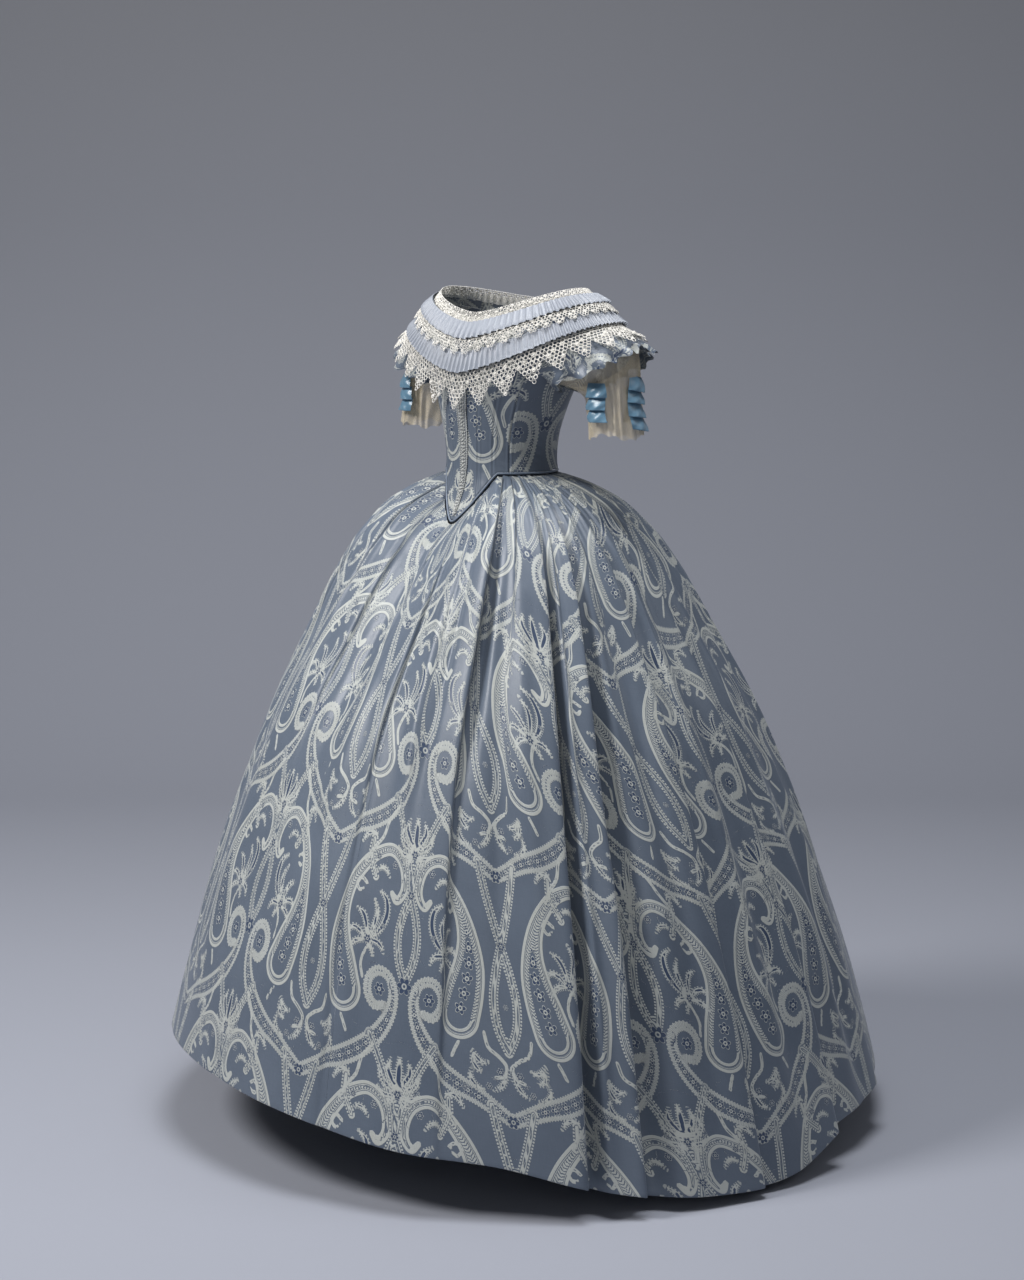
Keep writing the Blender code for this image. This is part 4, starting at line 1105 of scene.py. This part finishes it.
def shapeObject(name, shape):
    mesh = bpy.data.meshes.new(name)
    shape.to_mesh(mesh)
    shape.free()
    mesh.shade_smooth()
    made = bpy.data.objects.new(name, mesh)
    scene.collection.objects.link(made)
    return made


def ringShape(name, outer, thread, around=9, sides=4):
    # One small worked ring of lace, flat in X and Y.
    shape = bmesh.new()
    rings = []
    for index in range(around):
        turn = 2 * math.pi * index / around
        ring = []
        for side in range(sides):
            tilt = 2 * math.pi * (side + 0.5) / sides
            radius = outer - thread + thread * math.cos(tilt)
            place = (radius * math.cos(turn), radius * math.sin(turn), thread * math.sin(tilt))
            ring.append(shape.verts.new(place))
        rings.append(ring)
    for ring, following in zip(rings, rings[1:] + rings[:1]):
        for side in range(sides):
            beside = (side + 1) % sides
            shape.faces.new((ring[side], following[side], following[beside], ring[beside]))
    bmesh.ops.recalc_face_normals(shape, faces=shape.faces)
    return shapeObject(name, shape)


def discShape(name, radius, height, around=8):
    # A small worked knot: a low dome, closed below.
    shape = bmesh.new()
    top = shape.verts.new((0, 0, height))
    under = shape.verts.new((0, 0, -height * 0.4))
    rim = []
    for index in range(around):
        turn = 2 * math.pi * index / around
        rim.append(shape.verts.new((radius * math.cos(turn), radius * math.sin(turn), 0)))
    for index in range(around):
        shape.faces.new((rim[index], rim[(index + 1) % around], top))
        shape.faces.new((rim[(index + 1) % around], rim[index], under))
    return shapeObject(name, shape)


def repeatOver(name, points, facing, sizes, shape, material):
    # Geometry nodes that put one shape on every point, turned to face outward, as one plain mesh.
    mesh = bpy.data.meshes.new(name + "Points")
    mesh.from_pydata(np.asarray(points).tolist(), [], [])
    mesh.attributes.new("facing", "FLOAT_VECTOR", "POINT").data.foreach_set(
        "vector", np.asarray(facing, np.float32).ravel())
    mesh.attributes.new("size", "FLOAT", "POINT").data.foreach_set("value", np.asarray(sizes, np.float32))
    carrier = bpy.data.objects.new(name + "Points", mesh)
    scene.collection.objects.link(carrier)
    tree = bpy.data.node_groups.new(name + "Tree", "GeometryNodeTree")
    tree.interface.new_socket("Geometry", in_out="INPUT", socket_type="NodeSocketGeometry")
    shapeInput = tree.interface.new_socket("Shape", in_out="INPUT", socket_type="NodeSocketObject")
    tree.interface.new_socket("Geometry", in_out="OUTPUT", socket_type="NodeSocketGeometry")
    n = Nodes(tree)
    start = n.add("NodeGroupInput")
    end = n.add("NodeGroupOutput")
    facingNode = n.add("GeometryNodeInputNamedAttribute", {"Name": "facing"}, data_type="FLOAT_VECTOR")
    sizeNode = n.add("GeometryNodeInputNamedAttribute", {"Name": "size"}, data_type="FLOAT")
    turned = n.add("FunctionNodeAlignRotationToVector", {"Vector": facingNode.outputs[0]}, axis="Z")
    given = n.add("GeometryNodeObjectInfo", {"Object": start.outputs["Shape"]})
    placed = n.add("GeometryNodeInstanceOnPoints", {
        "Points": start.outputs["Geometry"], "Instance": given.outputs["Geometry"],
        "Rotation": turned.outputs[0], "Scale": sizeNode.outputs[0]})
    real = n.add("GeometryNodeRealizeInstances", {"Geometry": placed.outputs[0]})
    painted = n.add("GeometryNodeSetMaterial", {"Geometry": real.outputs[0], "Material": material})
    n.put(end.inputs["Geometry"], painted.outputs[0])
    modifier = carrier.modifiers.new("repeat", "NODES")
    modifier.node_group = tree
    modifier[shapeInput.identifier] = shape
    bpy.context.view_layer.update()
    seen = carrier.evaluated_get(bpy.context.evaluated_depsgraph_get())
    result = bpy.data.meshes.new_from_object(seen)
    result.name = name
    for old in (carrier, shape):
        bpy.data.objects.remove(old, do_unlink=True)
    made = bpy.data.objects.new(name, result)
    if not result.materials:
        result.materials.append(material)
    result.shade_smooth()
    scene.collection.objects.link(made)
    return made


def ringRows(lace, start=-180.0, end=180.0):
    # Places of a lace's rings in close rows, kept inside its pointed or scalloped edge.
    found = []
    span = (end - start) / 360.0
    middle = (lace["top"] + lace["tip"]) / 2
    line = berthaRing(np.linspace(start, end, 721), middle)
    whole = float(np.linalg.norm(np.diff(line, axis=0), axis=1).sum())
    points = lace["points"] * span
    perPoint = max(2, int(round(whole / points / lace["pitch"])))
    columns = int(round(perPoint * points))
    rows = int((lace["tip"] - lace["top"]) / (lace["pitch"] * 0.866)) + 1
    for row in range(rows):
        depth = lace["top"] + row * lace["pitch"] * 0.866
        for column in range(columns):
            place = (column + 0.5 * (row % 2)) / columns
            within = (place * points) % 1.0
            near = 1.0 - abs(within - 0.5) * 2
            if lace["round"]:
                near = math.sqrt(max(0.0, 1 - (1 - near) ** 2))
            limit = lace["valley"] + (lace["tip"] - lace["valley"]) * near
            if depth > limit:
                continue
            found.append((start + (end - start) * place, depth, row, column))
    return found


def laceFrom(lace, start=-180.0, end=180.0, part=""):
    found = ringRows(lace, start, end)
    angle = np.array([row[0] for row in found])
    depth = np.array([row[1] for row in found])
    ripple = np.sin(np.radians(angle) * lace["points"] * 0.5 + 0.8) * lace["ripple"]
    loose = smooth(depth, lace["top"], lace["tip"])
    lift = lace["height"] + lace["slant"] * (depth - lace["top"]) + ripple * loose
    overCap = smooth(np.abs(np.sin(np.radians(angle))), 0.64, 0.82)
    lift = lift + 0.0095 * smooth(depth, 0.085, 0.150) * overCap
    points = berthaLayer(angle, depth, lift)
    wobble = 0.0006 * np.sin(angle * 3.1 + depth * 900.0)
    points = points + np.column_stack([wobble, -wobble, wobble * 0.5])
    facing = berthaNormal(angle, depth)
    grain = np.random.default_rng(7).uniform(0.90, 1.08, len(found))
    facing = facing + np.random.default_rng(11).normal(0.0, 0.10, facing.shape)
    name = lace["name"] + part
    ring = ringShape("ring", lace["pitch"] * 0.53, lace["thread"])
    rings = repeatOver(name, points, facing, grain, ring, laceMaterial)
    solid = [i for i, row in enumerate(found) if (row[3] + 2 * row[2]) % lace["knotEvery"] == 0]
    knots = repeatOver(name + "Knots", points[solid], facing[solid], grain[solid],
                       discShape("knot", lace["pitch"] * 0.44, 0.0011), laceMaterial)
    join = bmesh.new()
    join.from_mesh(rings.data)
    join.from_mesh(knots.data)
    join.to_mesh(rings.data)
    join.free()
    bpy.data.objects.remove(knots, do_unlink=True)
    rings.data.shade_smooth()
    return rings, len(found)


# The laces, each with its depths down the cloth, ring pitch and thread, and points round the neck
upperLace = {"name": "upperLace", "points": 48, "top": 0.0285, "valley": 0.0450, "tip": 0.0550,
             "pitch": 0.0058, "thread": 0.00062, "height": 0.0038, "slant": 0.165, "ripple": 0.0006,
             "round": True, "knotEvery": 5}
lowerLace = {"name": "lowerLace", "points": 30, "top": 0.0790, "valley": 0.1150, "tip": 0.1525,
             "pitch": 0.0078, "thread": 0.00080, "height": 0.0026, "slant": 0.030, "ripple": 0.0012,
             "round": False, "knotEvery": 7}
tuckerLace = {"name": "tuckerRings", "points": 60, "top": -0.0180, "valley": 0.0, "tip": 0.0020,
              "pitch": 0.0052, "thread": 0.00055, "height": -0.0030, "slant": -0.020, "ripple": 0.0005,
              "round": True, "knotEvery": 4}


def declareLace(piece, node, lace, share=1.0):
    middle = (lace["top"] + lace["tip"]) / 2
    line = berthaRing(np.linspace(-180, 180, 361), middle)
    girth = float(np.linalg.norm(np.diff(line, axis=0), axis=1).sum()) * share
    finishPiece(piece, [node])


def buildLaces():
    piece, count = laceFrom(upperLace)
    declareLace(piece, "lace_upper", upperLace)
    piece, total = laceFrom(tuckerLace)
    declareLace(piece, "tucker_lace", tuckerLace)
    for part, start, end in (("Front", -90.0, 90.0), ("Back", 90.0, 270.0)):
        piece = laceFrom(lowerLace, start, end, part)[0]
        declareLace(piece, "lace_lower_" + part.lower(), lowerLace, 0.5)
    say(f"laces made, {count} and {total} rings")


buildLaces()


def buildTuckerNet():
    # Sheer gathered net behind the tucker's worked edge.
    tucker = {"waves": 74, "perWave": 8, "depths": (-0.0125, 0.009), "height": -0.0046}
    count = tucker["waves"] * tucker["perWave"]
    angle = (np.arange(count) * 360.0 / count)[None, :]
    part = np.linspace(0, 1, 8)[:, None]
    depth = tucker["depths"][0] + (tucker["depths"][1] - tucker["depths"][0]) * part
    turn = np.radians(angle) * tucker["waves"] + 0.5 * np.sin(np.radians(angle * 9))
    wave = 0.0009 * np.cos(turn) * (1 - part * 0.6)
    points = berthaLayer(angle, depth + 0.0008 * np.sin(np.radians(angle * 40)), tucker["height"] + wave)
    piece = gridMesh("tuckerNetFrill", points, tuckerMaterial, closed=True)
    giveUv(piece, lengthsAlong(points, 1), lengthsAlong(points, 0))
    finishPiece(piece, [])


buildTuckerNet()


def buildCentreTrim():
    # Braid down the front to the point, with beads at its edges and down its middle
    trim = {"rows": 60, "top": 3.9, "bottom": 0.12, "halfTop": 0.0125, "halfBottom": 0.0050, "lift": 0.0011}
    places = np.linspace(trim["top"], trim["bottom"], trim["rows"])
    middle = panelColumn(0.0, places)
    beside = panelColumn(7.0, places)
    unit = (beside - middle) / np.linalg.norm(beside - middle, axis=1, keepdims=True)
    half = np.interp(places, (trim["bottom"], trim["top"]), (trim["halfBottom"], trim["halfTop"]))
    grid = []
    for side in np.linspace(-1, 1, 9):
        point = middle + unit * (np.abs(side) * half)[:, None]
        if side < 0:
            point = point * (-1.0, 1.0, 1.0)
        grid.append(point + (0, -trim["lift"] - 0.0004 * (1 - side**2), 0))
    grid = np.moveaxis(np.array(grid), 0, 1)
    piece = gridMesh("centreBraid", grid, braidMaterial)
    giveUv(piece, lengthsAlong(grid, 1), lengthsAlong(grid, 0))
    length = lengthsAlong(middle[:, None], 0)[:, 0]
    points, sizes = [], []
    for side in (-1, -0.45, 0, 0.45, 1):
        pitch = 0.0034 if abs(side) == 1 else 0.0050 if side else 0.0062
        for where in np.arange(0.001, length[-1] - 0.001, pitch):
            row = np.interp(where, length, np.arange(len(length)))
            low = int(row)
            high = min(low + 1, len(length) - 1)
            column = (side + 1) * 4
            wave = 0.25 * math.sin(where * 400) if abs(side) == 0.45 else 0.0
            across = np.clip(column + wave, 0, 8)
            first = int(min(across, 7))
            top = grid[low, first] * (1 - across + first) + grid[low, first + 1] * (across - first)
            under = grid[high, first] * (1 - across + first) + grid[high, first + 1] * (across - first)
            points.append(top + (under - top) * (row - low) + (0, -0.0006, 0))
            sizes.append(1.0 if abs(side) == 1 else 1.35 if side else 1.8)
    facing = np.tile((0.0, -1.0, 0.12), (len(points), 1))
    bead = discShape("bead", 0.0014, 0.0009)
    beads = repeatOver("centreBeads", np.array(points), facing, sizes, bead, beadMaterial)
    finishPiece(piece, ["centre_trim"])
    finishPiece(beads, [])
    say("trim made")


buildCentreTrim()


# Sleeves
capCorners = (15.0, 165.0, 195.0, 345.0)
# Columns: angle round the arm, depth of the cap's hem on the bertha
capHem = ((0.0, 0.172), (30.0, 0.174), (60.0, 0.166), (85.0, 0.160), (110.0, 0.170), (140.0, 0.164),
          (180.0, 0.170))
# Columns: angle, x, y, z of the hem under the arm
capInnerHem = ((195.0, 0.180, 0.093, 0.152), (232.0, 0.153, 0.072, 0.139), (270.0, 0.145, 0.028, 0.133),
               (308.0, 0.150, -0.022, 0.138), (345.0, 0.178, -0.057, 0.149))
# Columns: height, centre x and y, radius along x and y of the net sleeve
netRings = ((0.062, 0.2260, 0.028, 0.043, 0.044), (0.110, 0.2185, 0.029, 0.042, 0.045),
            (0.150, 0.2120, 0.030, 0.0435, 0.049), (0.180, 0.2075, 0.031, 0.045, 0.052))
# Columns: angle round the arm, top and bottom heights, puffs, width
sleeveRibbons = ((12.0, 0.150, 0.090, 3, 0.033), (95.0, 0.160, 0.076, 4, 0.036),
                 (186.0, 0.140, 0.082, 3, 0.033))


def overArm(turn, place):
    seam = 50.0 + 80.0 * (turn - 15.0) / 150.0
    return 90.0 + (seam - 90.0) * (1 - 0.25 * place)


def armholeEdge(angle, part):
    low = panelPlace(angle, underarmHeight(angle))
    return panelColumn(angle, np.array([np.interp(part, (0.0, 0.5, 1.0), (6.0, 5.0, low))]))[0]


def capColumn(turn, places):
    turn = turn % 360.0
    if 15.0 <= turn <= 165.0:
        hem = float(curveAt(turn, capHem)[0])
        return berthaLayer(overArm(turn, places), 0.0346 + (hem - 0.0346) * places, 0.0)
    front, back, lowBack, lowFront = capCorners
    after = (turn - front) % 360.0 + front
    if after <= lowBack:
        top = armholeEdge(130.0, (after - back) / (lowBack - back))
    elif after <= lowFront:
        below = 130.0 - 80.0 * (after - lowBack) / (lowFront - lowBack)
        top = panelColumn(below, np.array([panelPlace(below, underarmHeight(below))]))[0]
    else:
        top = armholeEdge(50.0, (front + 360.0 - after) / (front + 360.0 - lowFront))
    ends = []
    for corner in (165.0, 15.0):
        depth = float(curveAt(corner, capHem)[0])
        ends.append((corner, *berthaLayer(overArm(corner, 1.0), depth, 0.0)))
    line = (ends[0], *capInnerHem, (375.0, *ends[1][1:]))
    hem = curveAt(after, line)
    top = top + np.array((0.96, 0.0, -0.28)) * 0.0006
    return top * (1 - places[:, None]) + hem * places[:, None]


def buildCap():
    cap = {"columns": 120, "rows": 34}
    turns = np.arange(cap["columns"]) * 360.0 / cap["columns"]
    places = np.linspace(0.0, 1.0, cap["rows"])
    grid = np.moveaxis(np.array([capColumn(turn, places) for turn in turns]), 0, 1)
    normal = gridNormals(grid, closed=True)
    middle = grid.mean(axis=1, keepdims=True)
    if (normal * (grid - middle)).sum() < 0:
        normal = -normal
    turn = np.radians(turns)[None, :]
    part = places[:, None]
    loose = smooth(part, 0.35, 1.0)
    wave = np.sin(turn * 7 + 0.6 * np.sin(turn * 3)) + 0.5 * np.sin(turn * 13 + 1.1)
    crumple = np.sin(turn * 9 + part * 7) * np.sin(turn * 4 - part * 11)
    outer = np.clip(np.cos(np.radians(turns - 90.0)), 0, 1)[None, :]
    lift = (0.0024 * wave * (0.4 + outer) + 0.0014 * crumple + 0.0030) * loose
    rim = smooth(part, 0.84, 1.0)
    lift = lift + 0.0045 * np.sin(turn * 15 + 1.2 * np.sin(turn * 4)) * rim
    shaped = grid + normal * lift[..., None]
    down = np.gradient(grid, axis=0)
    down /= np.linalg.norm(down, axis=2, keepdims=True)
    shaped += down * (0.0045 * rim * (wave * 0.7 + np.sin(turn * 21 + 0.4)))[..., None]
    return shaped, grid


def netSleeve(cap):
    # Gathered net from inside the cap to its open end.
    count = 176
    turns = np.arange(count) * 360.0 / count
    capTurns = np.arange(cap.shape[1] + 1) * 360.0 / cap.shape[1]
    row = int(cap.shape[0] * 0.72)
    closed = np.concatenate([cap[row], cap[row][:1]])
    start = np.stack([np.interp(turns, capTurns, closed[:, axis]) for axis in range(3)], axis=-1)
    middle = start.mean(axis=0)
    start = start + (middle - start) * 0.045
    rows = [start]
    turn = np.radians(turns)
    for part in np.linspace(0.12, 1.0, 22):
        heights = start[:, 2] + (0.062 - start[:, 2]) * part
        x, y, rx, ry = columns(heights, netRings)
        gather = 0.0022 * np.sin(turn * 19 + 1.7 * np.sin(turn * 5 + part * 3)) * smooth(part, 0.0, 0.3)
        gather += 0.0012 * np.sin(turn * 9 + part * 8)
        heights = heights + 0.0045 * part * np.sin(turn * 3 + 0.8) + 0.0020 * part * np.sin(turn * 11)
        ring = np.stack([x + (rx + gather) * np.sin(turn), y - (ry + gather) * np.cos(turn), heights],
                axis=-1)
        blend = smooth(part, 0.0, 0.3)
        straight = start * (1 - part) + ring * part
        rows.append(ring * blend + straight * (1 - blend))
    return np.array(rows)


def buildSleeves():
    cap, plain = buildCap()
    net = netSleeve(plain)
    for side in ("Left", "Right"):
        shown = mirrored(cap, side)
        piece = gridMesh(f"sleeveCap{side}", shown, brocadeMaterial, closed=True)
        across, up = lengthsAlong(shown, 1), lengthsAlong(shown, 0)
        givePattern(piece, across + 0.11, 0.55 - up)
        finishPiece(piece, [f"sleeve_cap_{side.lower()}"])
        shown = mirrored(net, side)
        piece = gridMesh(f"netSleeve{side}", shown, netMaterial, closed=True)
        across, up = lengthsAlong(shown, 1), lengthsAlong(shown, 0)
        giveUv(piece, across, up)
        finishPiece(piece, [f"undersleeve_{side.lower()}"])
        for number, (angle, top, bottom, puffs, width) in enumerate(sleeveRibbons, 1):
            rows = puffs * 24 + 1
            part = np.linspace(0, 1, rows)
            height = top + (bottom - top) * part
            x, y, rx, ry = columns(height, netRings)
            half = math.degrees(width / 2 / 0.0465)
            grid = []
            for step in np.linspace(-1, 1, 13):
                phase = puffs * part + 0.16 * step * math.sin(number * 2.1 + 1.0) + 0.05 * np.sin(part * 17)
                saw = phase % 1.0
                puff = np.sin(np.pi * np.clip(saw * 0.62, 0, 1)) * (1 - smooth(saw, 0.86, 1.0))
                sway = 4.0 * np.sin(part * 5 + number)
                turn = np.radians(angle + sway + step * half * (0.86 + 0.14 * puff))
                crush = 0.0009 * np.sin(step * 5 + part * 23) * puff
                lift = 0.0050 + 0.0092 * puff * (1 - 0.30 * step**2) + crush
                sag = -0.0055 * puff
                point = (x + (rx + lift) * np.sin(turn), y - (ry + lift) * np.cos(turn), height + sag)
                grid.append(np.stack(point, axis=-1))
            shown = mirrored(np.moveaxis(np.array(grid), 0, 1), side)
            piece = gridMesh(f"sleeveRibbon{side}{number}", shown, sleeveRibbonMaterial)
            giveUv(piece, lengthsAlong(shown, 1), lengthsAlong(shown, 0))
            finishPiece(piece, [f"sleeve_ribbon_{side.lower()}_{number}"])
    say("sleeves made")


buildSleeves()


# Floor that curves up into the backdrop, and the studio lights
stage = {"floor": -1.112, "wide": 9.0, "near": -5.2, "bend": 2.6, "radius": 1.6, "high": 4.2}


def buildStage():
    # A sweep of grey paper: level under the dress, upright behind it.
    turn = math.radians(camera["turn"])
    back = np.array((-math.sin(turn), math.cos(turn), 0.0))
    side = np.array((math.cos(turn), math.sin(turn), 0.0))
    line = [(stage["near"], 0.0), (0.0, 0.0), (stage["bend"], 0.0)]
    for step in range(1, 17):
        part = math.pi / 2 * step / 16
        line.append((stage["bend"] + math.sin(part) * stage["radius"],
                (1 - math.cos(part)) * stage["radius"]))
    line.append((stage["bend"] + stage["radius"], stage["high"]))
    points = []
    for away, rise in line:
        for across in np.linspace(-stage["wide"] / 2, stage["wide"] / 2, 9):
            points.append(back * away + side * across + (0, 0, stage["floor"] + rise))
    made, n, shader = newMaterial("greyPaper")
    here = n.add("ShaderNodeTexCoord").outputs["Object"]
    split = n.add("ShaderNodeSeparateXYZ", {"Vector": here}).outputs
    cloud = n.noise(here, 0.6, 2.0)
    # Painted shade: the paper's colour darkens from the floor up the backdrop, where less light falls
    rise = n.step(split[2], stage["floor"] - 0.05, stage["floor"] + 3.4)
    colour = n.mixed(rise, (0.345, 0.360, 0.415, 1), (0.225, 0.228, 0.240, 1))
    n.put(shader.inputs["Base Color"], n.mixed(n.product(cloud, 0.25), colour, (0.31, 0.325, 0.37, 1)))
    shader.inputs["Roughness"].default_value = 0.7
    shader.inputs["Specular IOR Level"].default_value = 0.25
    # Clear from its back, so that the dress is seen from every side
    behind = n.add("ShaderNodeNewGeometry").outputs["Backfacing"]
    n.put(shader.inputs["Alpha"], n.math("SUBTRACT", 1.0, behind))
    n.put(shader.inputs["Normal"], bumped(n, n.noise(here, 220.0, 3.0), 0.0006, 0.25))
    piece = gridMesh("greySweep", np.array(points).reshape(len(line), 9, 3)[:, ::-1], made)


buildStage()

# Columns: name, turn and height round the dress, distance, width, watts, colour
lights = (
    ("keyLight", -20.0, 2.6, 3.2, 1.4, 155.0, (1.0, 0.985, 0.97)),
    ("fillLight", 44.0, 1.0, 4.8, 2.2, 13.0, (0.93, 0.96, 1.0)),
    ("topLight", 60.0, 3.2, 0.5, 1.8, 112.0, (0.97, 0.98, 1.0)),
    ("rightLight", 125.0, 1.9, 3.4, 1.4, 9.0, (0.94, 0.97, 1.0)),
)


def placeLights():
    for name, turn, height, distance, size, power, colour in lights:
        made = bpy.data.lights.new(name, "AREA")
        made.shape = "DISK"
        made.size = size
        made.energy = power
        made.color = colour
        lamp = bpy.data.objects.new(name, made)
        angle = math.radians(turn)
        lamp.location = (math.sin(angle) * distance, -math.cos(angle) * distance, height)
        aim = Vector((0.0, 0.0, -0.35)) - lamp.location
        lamp.rotation_euler = aim.to_track_quat("-Z", "Y").to_euler()
        scene.collection.objects.link(lamp)
    world = bpy.data.worlds.new("studioAir")
    world.use_nodes = True
    world.node_tree.nodes["Background"].inputs["Color"].default_value = (0.68, 0.71, 0.78, 1)
    world.node_tree.nodes["Background"].inputs["Strength"].default_value = 0.14
    scene.world = world


placeLights()
scene.view_settings.view_transform = "Standard"
scene.view_settings.look = "None"
scene.view_settings.exposure = 0.0
say("stage and lights made")
